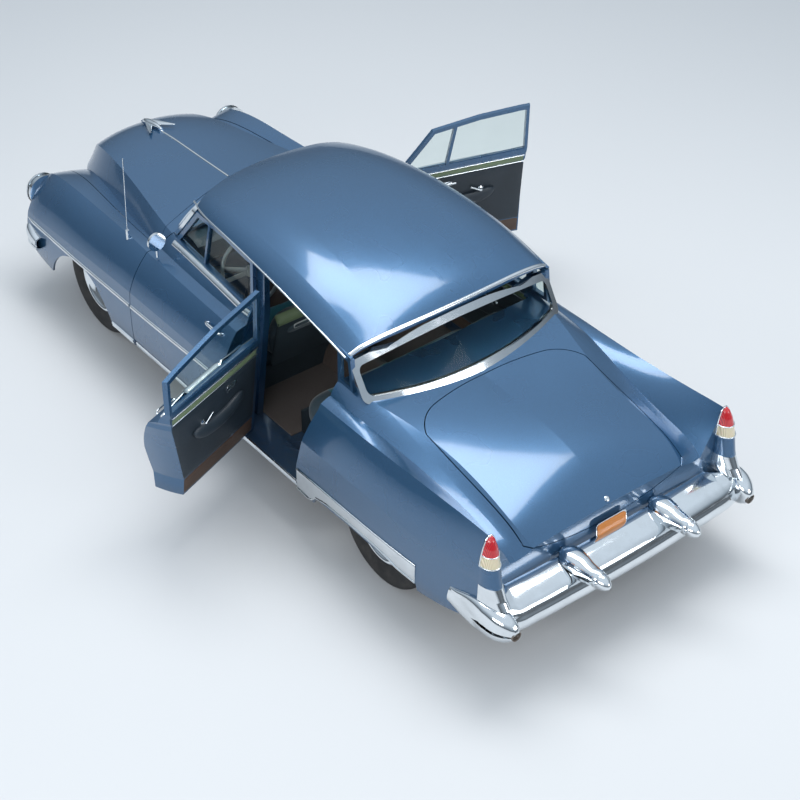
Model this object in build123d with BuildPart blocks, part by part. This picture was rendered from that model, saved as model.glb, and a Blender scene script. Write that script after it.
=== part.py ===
from build123d import *
import os
from math import cos, hypot, pi, sin

# A four-door sedan of the early 1950s, in millimetres.
# +X is forward, +Y is the car's left, +Z is up. X = 0 is mid-length, Z = 0 is the ground.
# The left rear door and the right front door stand open, as in the picture.

os.makedirs("parts", exist_ok=True)

# Walls and gaps
skin = 15.0              # wing and quarter panels
lid_skin = 22.0          # hood, cowl, deck and trunk lid with their inner frames
roof_skin = 28.0         # roof with its headlining
door_frame = 30.0        # width and depth of a door's window frame
shut_gap = 6.0           # between a closed panel and its neighbour
jamb_gap = 8.0           # between a closed door and the pillar behind it
seat_gap = 0.3           # between pieces that are bolted together along curves
glass_thick = 5.0

# Wheels and axles
wheel_radius = 370.0
rim_radius = 205.0
tyre_half_width = 102.0
front_axle_x = 1779.0
rear_axle_x = -1421.0
front_wheel_y = 745.0
rear_wheel_y = 790.0
kingpin_y = 660.0
spindle_radius = 26.0
running_gap = 0.7
drum_radius = 118.0

# Doors
front_seam_x = 1100.0    # front wing to front door
centre_seam_x = 18.0     # front door to rear door
rear_seam_top_x = -858.0
rear_seam_low_x = -735.0
door_bottom_z = 352.0
sill_top_z = 345.0
sill_bottom_z = 300.0
belt_z = 1070.0
door_open_turn = 69.0    # how far a door stands open, in degrees
hinge_back = 14.0        # the hinge pin lies this far behind its seam
hinge_y = 968.0

# Body lines, one row a section:
# x | centre z | shoulder y, z | valley y, z | crest y, z | widest y, z | rocker y, z
BODY = [
    (2620, 900, 280, 850, 420, 720, 720, 740, 900, 600, 930, 540),
    (2520, 1000, 340, 950, 440, 790, 730, 855, 930, 640, 950, 420),
    (2300, 1070, 400, 1025, 490, 870, 750, 930, 945, 660, 960, 340),
    (1800, 1100, 490, 1060, 585, 905, 770, 955, 955, 690, 965, 300),
    (1350, 1110, 585, 1065, 670, 940, 790, 965, 960, 710, 965, 300),
    (1050, 1115, 640, 1065, 720, 970, 810, 967, 965, 720, 965, 300),
    (100, 1090, 720, 1075, 775, 985, 850, 965, 970, 720, 965, 300),
    (-840, 1070, 750, 1068, 800, 990, 870, 965, 972, 700, 975, 300),
    (-1250, 1015, 660, 1035, 790, 975, 870, 965, 975, 700, 985, 300),
    (-1700, 985, 580, 955, 740, 900, 865, 972, 970, 690, 985, 310),
    (-2100, 900, 580, 865, 720, 820, 868, 990, 955, 690, 965, 360),
    (-2350, 760, 560, 740, 720, 720, 875, 1000, 935, 700, 940, 440),
]
tail_x = BODY[-1][0]

# Roof, one row a section: x | crown z | drip rail y, z
ROOF = [
    (900, 1462, 560, 1368),
    (700, 1522, 625, 1395),
    (400, 1572, 680, 1425),
    (0, 1593, 722, 1430),
    (-400, 1575, 750, 1400),
    (-750, 1495, 757, 1340),
    (-1010, 1345, 757, 1278),
]

# Side glass plane, one row a section: x | y at the belt | y at frame_top_z
belt_low_z = 1040.0
frame_top_z = 1430.0
GREENHOUSE = [
    (1110, 640, 575),
    (763, 668, 622),
    (100, 722, 703),
    (-1060, 752, 750),
]

# Cabin inside the doors, one row a section: x | y at the belt (y at the sill is cabin_sill_y)
cabin_sill_y = 790.0
CABIN = [(1110, 612), (100, 695), (-890, 722)]


def between(rows, x, column):
    """Reads a table between its rows, in a straight line."""
    for near, far in zip(rows, rows[1:]):
        if near[0] >= x >= far[0]:
            share = (near[0] - x) / (near[0] - far[0])
            return near[column] + share * (far[column] - near[column])
    return rows[0][column] if x > rows[0][0] else rows[-1][column]


def section_points(row, inset):
    """The six points of a body section, moved in by inset along the outline's normal."""
    points = [(0, row[1])] + [(row[i], row[i + 1]) for i in range(2, 12, 2)]
    wide = open_ends(points)
    moved = []
    for before, here, after in zip(wide, wide[1:], wide[2:]):
        run, rise = after[0] - before[0], after[1] - before[1]
        length = hypot(run, rise)
        moved.append((here[0] + inset * rise / length, here[1] - inset * run / length))
    moved[0] = (0, points[0][1] - inset)
    return moved


def open_ends(points):
    """Adds a mirrored point before the first and a straight-on point after the last."""
    first, second = points[0], points[1]
    last, previous = points[-1], points[-2]
    start = (2 * first[0] - second[0], second[1])
    end = (2 * last[0] - previous[0], 2 * last[1] - previous[1])
    return [start] + points + [end]


def lead(end, neighbour, length):
    """From a neighbouring point to an arc's end, but no further than 1.6 arc lengths."""
    run, rise = end[0] - neighbour[0], end[1] - neighbour[1]
    share = min(1.0, 1.6 * length / hypot(run, rise))
    return run * share, rise * share


def arc_middles(points):
    """The middle point of each arc, so that the arcs flow into each other."""
    wide = open_ends(points)
    middles = []
    for before, start, end, after in zip(wide, wide[1:], wide[2:], wide[3:]):
        length = hypot(end[0] - start[0], end[1] - start[1])
        near, far = lead(start, before, length), lead(end, after, length)
        middles.append(tuple((start[k] + end[k]) / 2 + (near[k] + far[k]) / 16 for k in (0, 1)))
    return middles


def chained_arcs(points):
    """Arcs from point to point, the first leaving level and each next leaving where the last one ends."""
    normal = (0.0, 1.0)
    for start, end in zip(points, points[1:]):
        run, rise = end[0] - start[0], end[1] - start[1]
        radius = -(run * run + rise * rise) / (2 * (run * normal[0] + rise * normal[1]))
        centre = (start[0] - radius * normal[0], start[1] - radius * normal[1])
        after = ((end[0] - centre[0]) / radius, (end[1] - centre[1]) / radius)
        mean = (normal[0] + after[0], normal[1] + after[1])
        size = hypot(*mean) / radius
        ThreePointArc(start, (centre[0] + mean[0] / size, centre[1] + mean[1] / size), end)
        normal = after


def flowing_arcs(points):
    """Joins points by arcs that follow on from each other, inside a BuildLine."""
    for start, middle, end in zip(points, arc_middles(points), points[1:]):
        ThreePointArc(start, middle, end)


def skin_line(x):
    """Points (y, z) down the body's section at x: each table point from the shoulder, and each arc's middle."""
    points = [(0, between(BODY, x, 1))] + [(between(BODY, x, k), between(BODY, x, k + 1)) for k in range(2, 12, 2)]
    line = []
    for middle, end in zip(arc_middles(points), points[1:]):
        line += [middle, end]
    return line[1:]


def edge_at(edge, z):
    """Reads an upward list of (x, z) at height z, in a straight line."""
    for (x_low, low), (x_high, high) in zip(edge, edge[1:]):
        if low <= z <= high:
            return x_low + (z - low) / (high - low) * (x_high - x_low)
    return edge[0][0] if z < edge[0][1] else edge[-1][0]


def body_half(inset=0.0, rear_inset=0.0, open_below=False):
    """The left half of the whole body form, lofted through the table's sections."""
    with BuildPart() as form:
        for row in BODY:
            x = row[0] + (rear_inset if row is BODY[-1] else 0)
            points = section_points(row, inset)
            top, rocker = points[0], points[-1]
            with BuildSketch(Plane.YZ.offset(x)):
                with BuildLine():
                    flowing_arcs(points)
                    if open_below:
                        low = sill_bottom_z - 120
                        side = -skin
                        Polyline(rocker, (rocker[0], low), (side, low), (side, top[1]), top)
                    else:
                        Polyline(rocker, (0, rocker[1]), top)
                make_face()
        loft()
    return form.part


def plan_prism(points, low=0.0, high=1800.0):
    """A tall prism on a closed outline in plan."""
    with BuildPart() as prism:
        with BuildSketch(Plane.XY.offset(low)):
            with BuildLine():
                Polyline(*points, close=True)
            make_face()
        extrude(amount=high - low)
    return prism.part


def side_prism(points, y_from=0.0, y_to=1100.0, grow=0.0):
    """A prism across the car on a closed outline in side view, given as (x, z)."""
    with BuildPart() as prism:
        with BuildSketch(Plane.XZ.offset(-y_to)):
            with BuildLine():
                Polyline(*points, close=True)
            make_face()
            if grow:
                offset(amount=grow, kind=Kind.INTERSECTION)
        extrude(amount=y_to - y_from)
    return prism.part


def cross_prism(points, x_from, x_to):
    """A prism along the car on a closed outline in front view, given as (y, z)."""
    with BuildPart() as prism:
        with BuildSketch(Plane.YZ.offset(x_from)):
            with BuildLine():
                Polyline(*points, close=True)
            make_face()
        extrude(amount=x_to - x_from)
    return prism.part


def box(x_from, x_to, y_from, y_to, z_from, z_to):
    """A block between two corners."""
    middle = ((x_from + x_to) / 2, (y_from + y_to) / 2, (z_from + z_to) / 2)
    return Pos(*middle) * Box(x_to - x_from, y_to - y_from, z_to - z_from)


def rod(start, end, radius):
    """A round bar between two points."""
    axis = Vector(*end) - Vector(*start)
    with BuildPart() as bar:
        with BuildSketch(Plane(origin=start, z_dir=axis)):
            Circle(radius)
        extrude(amount=axis.length)
    return bar.part


def both_sides(part):
    """A piece and its mirror image across the centre plane, as one."""
    return part + mirror(part, about=Plane.XZ)


def save(name, part):
    """Labels a finished piece and writes its STEP file."""
    solids = part.solids()
    kept = Compound(children=[Solid(s.wrapped) for s in solids]) if len(solids) > 1 else solids[0]
    kept.label = name
    export_step(kept, f"parts/{name}.step")


# Door outlines in side view, closed: (x, z)
half = shut_gap / 2


def drip_z(x):
    """Height of the door frame's top edge under the drip rail."""
    return between(ROOF, x, 3) - 18


front_lower = [(front_seam_x - half, door_bottom_z), (front_seam_x - half, 1000), (1030, belt_z + 20),
               (centre_seam_x + half, belt_z + 20), (centre_seam_x + half, door_bottom_z)]
front_upper = [(1012, belt_low_z), (742, drip_z(742)), (400, drip_z(400)),
               (centre_seam_x + half, drip_z(0)), (centre_seam_x + half, belt_low_z)]
rear_lower = [(centre_seam_x - half, door_bottom_z), (centre_seam_x - half, belt_z + 20),
              (rear_seam_top_x + half, belt_z + 20), (rear_seam_top_x + half, 930),
              (rear_seam_low_x + half, 470), (rear_seam_low_x + half, door_bottom_z)]
rear_upper = [(centre_seam_x - half, belt_low_z), (centre_seam_x - half, drip_z(0)),
              (-400, drip_z(-400)), (-750, drip_z(-750)), (rear_seam_top_x + half, drip_z(rear_seam_top_x)),
              (rear_seam_top_x + half, belt_low_z)]

# The body's forms: the outside, and the inside at two depths of wall
outer_half = body_half()
wing_inside = body_half(skin, skin, open_below=True)
lid_inside = body_half(lid_skin, lid_skin, open_below=True)

# Hood outline in plan: nose, side seam and the V of its rear edge
hood_nose_x = 2612.0
hood_corner = (2500.0, 590.0)
hood_rear_corner = (1118.0, 724.0)
hood_rear_centre_x = 1345.0
hood_lip_z = 800.0


def hood_outline(gap):
    """The hood's outline in plan, drawn in by gap at its sides and its rear edge."""
    with BuildPart() as prism:
        with BuildSketch(Plane.XY.offset(hood_lip_z)):
            with BuildLine():
                side = (hood_corner[0], hood_corner[1] - gap)
                rear = (hood_rear_corner[0] + gap, hood_rear_corner[1] - gap)
                centre = (hood_rear_centre_x + gap, 0)
                Line(side, rear)
                Line(rear, centre)
                Line(centre, (rear[0], -rear[1]))
                Line((rear[0], -rear[1]), (side[0], -side[1]))
                ThreePointArc((side[0], -side[1]), (hood_nose_x, 0), side)
            make_face()
        extrude(amount=500)
    return prism.part


def nose_cavity():
    """The space under the hood, a wall's depth inside the nose."""
    with BuildPart() as prism:
        with BuildSketch(Plane.XY):
            with BuildLine():
                front = hood_corner[0] - lid_skin
                Line((front, 760), (900, 760))
                Line((900, 760), (900, -760))
                Line((900, -760), (front, -760))
                ThreePointArc((front, -760), (hood_nose_x - lid_skin, 0), (front, 760))
            make_face()
        extrude(amount=1800)
    return prism.part


# Hood
outer_body = both_sides(outer_half)
lid_void = both_sides(lid_inside)
hood = (outer_body & hood_outline(shut_gap / 2)) - (lid_void & nose_cavity())
ornament = both_sides(side_prism([(2180, 1085), (2200, 1106), (2330, 1098), (2420, 1078),
                                  (2440, 1062), (2410, 1050), (2320, 1060)], 0, 14))
hood = hood + ornament
save("hood", hood)

# Cowl: the panel round the windscreen's foot, the bulkhead and the front door posts
cowl_rear_x = 1002.0
bulkhead_x = 1040.0
bulkhead_thick = 18.0
tunnel_z = 352.0
tunnel_radius = 130.0
floor_low_z = 311.0
floor_top_z = 329.0
hinge_post = 62.0
cowl_side_y = 604.0      # the cowl beside the closed door


def door_line_inside(x, gap):
    """Front view points of a post's outer edge, gap inside the closed door."""
    belt_y = min(between(CABIN, x, 1), between(GREENHOUSE, x, 1) - door_frame)
    return [(cabin_sill_y - gap, floor_top_z), (belt_y - gap, belt_z)]


cowl_plan = plan_prism([(cowl_rear_x, -722), (cowl_rear_x, 722), (hood_rear_corner[0], 722),
                        (hood_rear_centre_x - shut_gap / 2, 0), (hood_rear_corner[0], -722)], 900)
cowl_top = (outer_body & cowl_plan) - lid_void
cowl_top = cowl_top - both_sides(side_prism(front_lower, cowl_side_y, 1100, shut_gap))
post_low, post_high = door_line_inside(bulkhead_x, jamb_gap)
bulkhead = cross_prism([(-post_low[0], post_low[1]), (post_low[0], post_low[1]),
                        (post_high[0], 1000), (post_high[0] - 12, 1030),
                        (12 - post_high[0], 1030), (-post_high[0], 1000)],
                       bulkhead_x, bulkhead_x + bulkhead_thick)
bulkhead = bulkhead - rod((bulkhead_x - 5, 0, tunnel_z), (bulkhead_x + 40, 0, tunnel_z), tunnel_radius + 1)
bulkhead = bulkhead + (box(bulkhead_x, bulkhead_x + bulkhead_thick, -600, 600, 1020, 1110) & outer_body)
bulkhead = bulkhead - box(900, 1200, -140, 140, 300, tunnel_z)
post = cross_prism([post_low, post_high, (post_high[0] - 40, belt_z - 40), (post_low[0] - 40, post_low[1])],
                   bulkhead_x - hinge_post, bulkhead_x)
post = post & outer_body
cowl = cowl_top + bulkhead + both_sides(post)
save("cowl", cowl)

# Front wings
wing_front_x = 2508.0
arch_low_z = 280.0
arch_top_z = 597.0
arch_rear_x = 1372.0
arch_front_x = 2196.0
with BuildPart() as wheel_arch:
    with BuildSketch(Plane.XZ.offset(-1100)):
        with BuildLine():
            ThreePointArc((arch_rear_x, arch_low_z), (front_axle_x, arch_top_z), (arch_front_x, arch_low_z))
            Polyline((arch_front_x, arch_low_z), (arch_front_x, 100), (arch_rear_x, 100), (arch_rear_x, arch_low_z))
        make_face()
    extrude(amount=300)
wing_gap = shut_gap / 2
wing_plan = plan_prism([(wing_front_x, hood_corner[1] + wing_gap), (hood_corner[0], hood_corner[1] + wing_gap),
                        (front_seam_x + wing_gap, hood_rear_corner[1] + wing_gap),
                        (front_seam_x + wing_gap, 1100), (wing_front_x, 1100)])
wing_void = wing_inside & box(500, wing_front_x - skin, 300, 1100, 100, 1800)
wing = (outer_half & wing_plan) - wing_void - wheel_arch.part
save("front_wing_left", wing)
save("front_wing_right", mirror(wing, about=Plane.XZ))

# Cabin space inside the doors
with BuildPart() as cabin_void:
    for x, belt_y in CABIN:
        with BuildSketch(Plane.YZ.offset(x)):
            with BuildLine():
                Polyline((cabin_sill_y, 250), (cabin_sill_y, floor_top_z), (belt_y, belt_z), (belt_y, 1700),
                         (-100, 1700), (-100, 250), close=True)
            make_face()
    loft(ruled=True)

# Side plane of the window frames, as a slab from the belt to the drip rail
with BuildPart() as side_slab:
    for x, low_y, high_y in GREENHOUSE:
        with BuildSketch(Plane.YZ.offset(x)):
            with BuildLine():
                Polyline((low_y, belt_low_z), (high_y, frame_top_z), (high_y - door_frame, frame_top_z),
                         (low_y - door_frame, belt_low_z), close=True)
            make_face()
    loft(ruled=True)


def pane_slab(depth, thickness):
    """A thin sheet parallel to the side plane, depth inside it."""
    with BuildPart() as sheet:
        for x, low_y, high_y in GREENHOUSE:
            with BuildSketch(Plane.YZ.offset(x)):
                with BuildLine():
                    Polyline((low_y - depth, belt_low_z), (high_y - depth, frame_top_z),
                             (high_y - depth - thickness, frame_top_z),
                             (low_y - depth - thickness, belt_low_z), close=True)
                make_face()
        loft(ruled=True)
    return sheet.part


pane_sheet = pane_slab(12, glass_thick)

# Doors, one row a door:
# name | lower outline | window frame outline | dividing bar (x at its foot and top, or none)
DOORS = [
    ("front", front_lower, front_upper, (640, 575)),
    ("rear", rear_lower, rear_upper, None),
]


def window_outline(frame, inward):
    """The frame's outline drawn in by inward."""
    return side_prism(frame, 300, 1100, -inward)


def swing_room(pin_x, free_edge):
    """The space inside the circles that a door's free edge draws round its pin, one circle a height.

    free_edge lists (x, z) up the edge. Each radius reaches the outer skin there, so only the
    door's inner corner is drawn in, and it clears its neighbour by the shut gap all the way round.
    """
    skin_points = sorted((z, y) for y, z in skin_line(free_edge[-1][0]))
    kinks = [(z, edge_at([(y, z) for z, y in skin_points], z)) for x, z in free_edge[:-1]]
    levels = sorted(skin_points + kinks) + [(frame_top_z + 40, between(GREENHOUSE, free_edge[-1][0], 2))]
    circles = [(hypot(edge_at(free_edge, z) - pin_x, hinge_y - y), z) for z, y in levels]
    with BuildPart() as room:
        with BuildSketch(Plane(origin=(pin_x, hinge_y, 0), x_dir=(1, 0, 0), z_dir=(0, -1, 0))):
            with BuildLine():
                Polyline((0, circles[0][1]), *circles, (0, circles[-1][1]), close=True)
            make_face()
        revolve(axis=Axis((pin_x, hinge_y, 0), (0, 0, 1)))
    return room.part


def make_door(lower, upper, bar, room):
    """A closed left door with its window frame, and its glass."""
    panel = (outer_half & side_prism(lower, 300, 1100)) - cabin_void.part
    frame = side_slab.part & (side_prism(upper, 300, 1100) - window_outline(upper, door_frame))
    panes = pane_sheet & window_outline(upper, door_frame - 6)
    if bar:
        foot_x, top_x = bar
        divider = side_prism([(foot_x, belt_low_z), (top_x, 1420), (top_x - 22, 1420), (foot_x - 22, belt_low_z)],
                             300, 1100)
        frame = frame + (side_slab.part & divider & side_prism(upper, 300, 1100))
    door = (panel + frame) & room
    return door, panes - door


pins = {"front": front_seam_x - hinge_back, "rear": centre_seam_x - hinge_back}
opened = [("front", "right"), ("rear", "left")]
free_edges = {
    "front": [(centre_seam_x + half, door_bottom_z), (centre_seam_x + half, frame_top_z)],
    "rear": [(rear_seam_low_x + half, 470), (rear_seam_top_x + half, 930), (rear_seam_top_x + half, frame_top_z)],
}
for place, lower, upper, bar in DOORS:
    door, panes = make_door(lower, upper, bar, swing_room(pins[place], free_edges[place]))
    for side in ("left", "right"):
        turn = -door_open_turn if (place, side) in opened else 0.0
        pin = Axis((pins[place], hinge_y, 0), (0, 0, 1))
        panel, glass = door.rotate(pin, turn), panes.rotate(pin, turn)
        if side == "right":
            panel, glass = mirror(panel, about=Plane.XZ), mirror(glass, about=Plane.XZ)
        save(f"door_{place}_{side}", panel)
        save(f"door_glass_{place}_{side}", glass)

# Roof with its rear posts
roof_front_x = 862.0
roof_front_corner = (768.0, 640.0)
roof_rear_x = -1000.0
roof_rear_corner = (-962.0, 780.0)
# Points of the roof's half section as shares of its half width and of its rise over the drip rail
ROOF_SECTION = [(0, 1), (0.55, 0.85), (0.85, 0.51), (1, 0)]


def roof_form(inset, skirt):
    """The roof's left half, drawn in by inset, with straight sides of height skirt under the drip rail."""
    with BuildPart() as form:
        for x, crown, rail_y, rail_z in ROOF:
            wide, rise = rail_y - inset, crown - inset - rail_z
            arcs = [(across * wide, rail_z + rise * up) for across, up in ROOF_SECTION]
            low = rail_z - skirt
            foot = [(wide, low), (-skin, low), (-skin, crown - inset)] if skirt else [(0, low)]
            with BuildSketch(Plane.YZ.offset(x)):
                with BuildLine():
                    chained_arcs(arcs)
                    Polyline(arcs[-1], *foot, arcs[0])
                make_face()
        loft()
    return form.part


with BuildPart() as roof_plan:
    with BuildSketch(Plane.XY.offset(1100)):
        with BuildLine():
            Line(roof_front_corner, (roof_front_corner[0], 900))
            Line((roof_front_corner[0], 900), (roof_rear_corner[0], 900))
            Line((roof_rear_corner[0], 900), roof_rear_corner)
            ThreePointArc(roof_rear_corner, (roof_rear_x, 0), (roof_rear_corner[0], -roof_rear_corner[1]))
            Line((roof_rear_corner[0], -roof_rear_corner[1]), (roof_rear_corner[0], -900))
            Line((roof_rear_corner[0], -900), (roof_front_corner[0], -900))
            Line((roof_front_corner[0], -900), (roof_front_corner[0], -roof_front_corner[1]))
            ThreePointArc((roof_front_corner[0], -roof_front_corner[1]), (roof_front_x, 0), roof_front_corner)
        make_face()
    extrude(amount=600)
roof_solid = both_sides(roof_form(0, 0))
roof = both_sides(roof_form(0, 0) - roof_form(roof_skin, 60)) & roof_plan.part
rear_post_front_x = rear_seam_top_x - half
rear_post = [(rear_post_front_x, belt_z + 4), (rear_post_front_x, drip_z(rear_seam_top_x) + 30), (-985, 1300),
             (-1012, belt_z + 4)]
quarter_window = [(rear_post_front_x - 24, belt_z + 26), (rear_post_front_x - 24, 1272), (-962, 1262),
                  (-985, belt_z + 26)]
post_slab = side_slab.part & side_prism(rear_post, 300, 1100)
quarter_hole = side_prism(quarter_window, 300, 1100)
post_slab = (post_slab - quarter_hole) - roof_solid
roof = roof + both_sides(post_slab)
save("roof", roof)

# Centre posts between the doors
post_front_x = centre_seam_x + 62.0
post_rear_x = centre_seam_x - 62.0
post_depth = 42.0
low, high = door_line_inside(centre_seam_x, jamb_gap)
top_y = between(GREENHOUSE, centre_seam_x, 2) - door_frame - jamb_gap
top_z = 1412.0
centre_post = cross_prism([low, high, (top_y, top_z), (top_y - post_depth + 8, top_z),
                           (high[0] - post_depth, belt_z), (low[0] - post_depth, floor_top_z)],
                          post_rear_x, post_front_x)
centre_post = centre_post - roof_solid
save("centre_posts", both_sides(centre_post))

# Windscreen frame and glass: a curved band between the cowl and the roof
screen_levels = [
    # z | centre x | quarter point x, y | corner x, y
    (1000, 1432, 1290, 395, 1075, 660),
    (1480, 850, 800, 380, 693, 640),
]


def screen_band(levels, front, thickness):
    """A curved sheet lofted between two plan curves, front inside the outer face."""
    with BuildPart() as band:
        for z, centre_x, quarter_x, quarter_y, corner_x, corner_y in levels:
            with BuildSketch(Plane.XY.offset(z)):
                with BuildLine():
                    for back in (front, front + thickness):
                        sign = 1 if centre_x > 0 else -1
                        start = (corner_x - sign * back, -corner_y)
                        end = (corner_x - sign * back, corner_y)
                        middle = (centre_x - sign * back, 0)
                        ThreePointArc(start, (quarter_x - sign * back, -quarter_y), middle)
                        ThreePointArc(middle, (quarter_x - sign * back, quarter_y), end)
                    Line((corner_x - sign * front, -corner_y), (corner_x - sign * (front + thickness), -corner_y))
                    Line((corner_x - sign * front, corner_y), (corner_x - sign * (front + thickness), corner_y))
                make_face()
        loft(ruled=True)
    return band.part


def pane_prism(low_centre, low_side, side_y, high_side, high_centre, inward, x_from, x_to):
    """A front view outline of a window, with bowed foot and head, drawn in by inward."""
    with BuildPart() as prism:
        with BuildSketch(Plane.YZ.offset(x_from)):
            with BuildLine():
                ThreePointArc((-side_y, low_side), (0, low_centre), (side_y, low_side))
                Line((side_y, low_side), (side_y, high_side))
                ThreePointArc((side_y, high_side), (0, high_centre), (-side_y, high_side))
                Line((-side_y, high_side), (-side_y, low_side))
            make_face()
            if inward:
                offset(amount=-inward)
            fillet(vertices(), 40)
        extrude(amount=x_to - x_from)
    return prism.part


frame_width = 34.0
screen_outline = (1102, 1046, 640, 1374, 1454)
screen_outer = pane_prism(*screen_outline, 0, 500, 1500)
screen_hole = pane_prism(*screen_outline, frame_width, 500, 1500)
screen_frame = screen_band(screen_levels, 0, 32) & (screen_outer - screen_hole)
screen_frame = screen_frame - outer_body - roof_solid
screen_frame = screen_frame - both_sides(side_prism(front_upper, 300, 1100, shut_gap))
save("windscreen_frame", screen_frame)
windscreen = screen_band(screen_levels, 12, glass_thick) & pane_prism(*screen_outline, frame_width + 0.3, 500, 1500)
windscreen = windscreen - outer_body - screen_frame
save("windscreen", windscreen)

# Rear window frame and glass, with the fixed quarter panes
rear_levels = [
    (960, -1290, -1255, 400, -1150, 757),
    (1420, -945, -925, 400, -868, 757),
]
rear_outline = (1016, 1040, 742, 1262, 1330)
rear_outer = pane_prism(*rear_outline, 0, -1500, -800)
rear_hole = pane_prism(*rear_outline, 38, -1500, -800)
backlight_frame = screen_band(rear_levels, 0, 26) & (rear_outer - rear_hole)
backlight_frame = backlight_frame - outer_body - roof_solid - both_sides(post_slab)
save("backlight_frame", backlight_frame)
backlight = screen_band(rear_levels, 10, glass_thick) & pane_prism(*rear_outline, 38.3, -1500, -800)
quarter_pane = pane_sheet & side_prism(quarter_window, 300, 1100, -0.3)
save("rear_glass", backlight + both_sides(quarter_pane) - backlight_frame - roof)

# Trunk lid outline in plan and from behind
lid_front_x = -1272.0
lid_side_y = 600.0
lid_rear_x = tail_x - 60
lid_low_centre_z = 651.0
lid_low_side_z = 762.0


def lid_outline(grow):
    """The trunk opening, seen from above and from behind, grown by grow."""
    with BuildPart() as above:
        with BuildSketch(Plane.XY.offset(500)):
            with BuildLine():
                reach = lid_side_y
                shoulder = lid_front_x - 175
                Line((lid_rear_x, -reach), (shoulder - 40, -reach))
                ThreePointArc((shoulder - 40, -reach), (lid_front_x - 95, -reach + 95), (lid_front_x - 50, -reach + 190))
                ThreePointArc((lid_front_x - 50, -reach + 190), (lid_front_x, 0), (lid_front_x - 50, reach - 190))
                ThreePointArc((lid_front_x - 50, reach - 190), (lid_front_x - 95, reach - 95), (shoulder - 40, reach))
                Line((shoulder - 40, reach), (lid_rear_x, reach))
                Line((lid_rear_x, reach), (lid_rear_x, -reach))
            make_face()
            if grow:
                offset(amount=grow)
        extrude(amount=800)
    with BuildPart() as behind:
        with BuildSketch(Plane.YZ.offset(-2600)):
            with BuildLine():
                side, low = 700, lid_low_side_z + 30 - grow
                ThreePointArc((-side, low), (0, lid_low_centre_z - grow), (side, low))
                Polyline((side, low), (side, 1400), (-side, 1400), (-side, low))
            make_face()
        extrude(amount=1500)
    return above.part & behind.part


trunk_lid = (outer_body & lid_outline(-half)) - lid_void
save("trunk_lid", trunk_lid)

# Rear deck round the trunk opening, and the tail panel under it
deck_front_x = -905.0
deck_side_y = 668.0
deck_plan = box(tail_x - 20, deck_front_x, -deck_side_y, deck_side_y, 430, 1200)
rear_deck = (outer_body & deck_plan) - lid_void - lid_outline(half)
rear_deck = rear_deck - both_sides(box(tail_x - 20, tail_x + 60, 429, 511, 494, 566))
save("rear_deck", rear_deck)

# Rear quarter panels
skirt = [(-860, 270), (-905, 300), (-935, 352), (-1250, 378), (-1570, 378), (-1700, 368), (-1870, 362),
         (-1890, 270)]
quarter_front = [(rear_seam_low_x - half, 100), (rear_seam_low_x - half, 470), (rear_seam_top_x - half, 930),
                 (rear_seam_top_x - half, 1300), (tail_x - 20, 1300), (tail_x - 20, 100)]
quarter = (outer_half & side_prism(quarter_front, deck_side_y, 1100)) - wing_inside
quarter = quarter - side_prism(skirt, 500, 1100) - side_prism(rear_post, 300, 1100)
save("quarter_panel_left", quarter)
save("quarter_panel_right", mirror(quarter, about=Plane.XZ))

# Floor: pan with its tunnel, sills, rear step and trunk floor, rear wheel housings
pan_side_y = 790.0
pan_rear_x = -790.0
trunk_floor_z = 586.0
pan_thick = floor_top_z - floor_low_z
trunk_side_y = 600.0
housing_radius = 430.0
sill_outer_y = 958.0
pan = box(pan_rear_x, bulkhead_x, -pan_side_y, pan_side_y, floor_low_z, floor_top_z)
tunnel = rod((pan_rear_x, 0, tunnel_z), (bulkhead_x, 0, tunnel_z), tunnel_radius)
bore = rod((pan_rear_x - 50, 0, tunnel_z), (bulkhead_x + 5, 0, tunnel_z), tunnel_radius - 12)
slot = box(pan_rear_x - 50, bulkhead_x + 5, 12 - tunnel_radius, tunnel_radius - 12, 200, tunnel_z)
below = box(pan_rear_x - 50, bulkhead_x + 5, -200, 200, 150, floor_low_z)
sill = box(rear_seam_low_x - half, front_seam_x + half, pan_side_y, sill_outer_y, sill_bottom_z, sill_top_z)
step = box(pan_rear_x - pan_thick, pan_rear_x, -trunk_side_y, trunk_side_y, floor_low_z, trunk_floor_z + pan_thick)
trunk_floor = box(tail_x + 30, pan_rear_x, -trunk_side_y, trunk_side_y, trunk_floor_z, trunk_floor_z + pan_thick)
trunk_floor = trunk_floor - box(pan_rear_x - 5, bulkhead_x, -900, 900, 0, 900)
housing = rod((rear_axle_x, trunk_side_y - 12, wheel_radius), (rear_axle_x, 912, wheel_radius), housing_radius)
housing = housing - rod((rear_axle_x, trunk_side_y, wheel_radius), (rear_axle_x, 950, wheel_radius),
                        housing_radius - 12)
housing = housing - box(-2100, -800, 500, 1000, 0, trunk_floor_z)
floor = (pan + tunnel + step - bore - slot - below) + both_sides(sill) + trunk_floor + both_sides(housing)
save("floor_pan", floor)

# Chassis: two rails on tables of side and plan lines, crossmembers and the X
rail_width = 80.0
rail_height = 100.0
# x | rail centre y | rail centre z
RAILS = [
    (2440, 400, 410),
    (2180, 400, 410),
    (2000, 400, 380),
    (1400, 410, 380),
    (1080, 540, 259),
    (900, 560, 259),
    (-814, 560, 259),
    (-1052, 470, 535),
    (-2318, 470, 535),
]


def rail():
    """One rail: the plan band and the side band where they cross."""
    over = [(x, y + rail_width / 2) for x, y, z in RAILS]
    under = [(x, y - rail_width / 2) for x, y, z in reversed(RAILS)]
    top = [(x, z + rail_height / 2) for x, y, z in RAILS]
    bottom = [(x, z - rail_height / 2) for x, y, z in reversed(RAILS)]
    return plan_prism(over + under) & side_prism(top + bottom, 200, 800)


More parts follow.
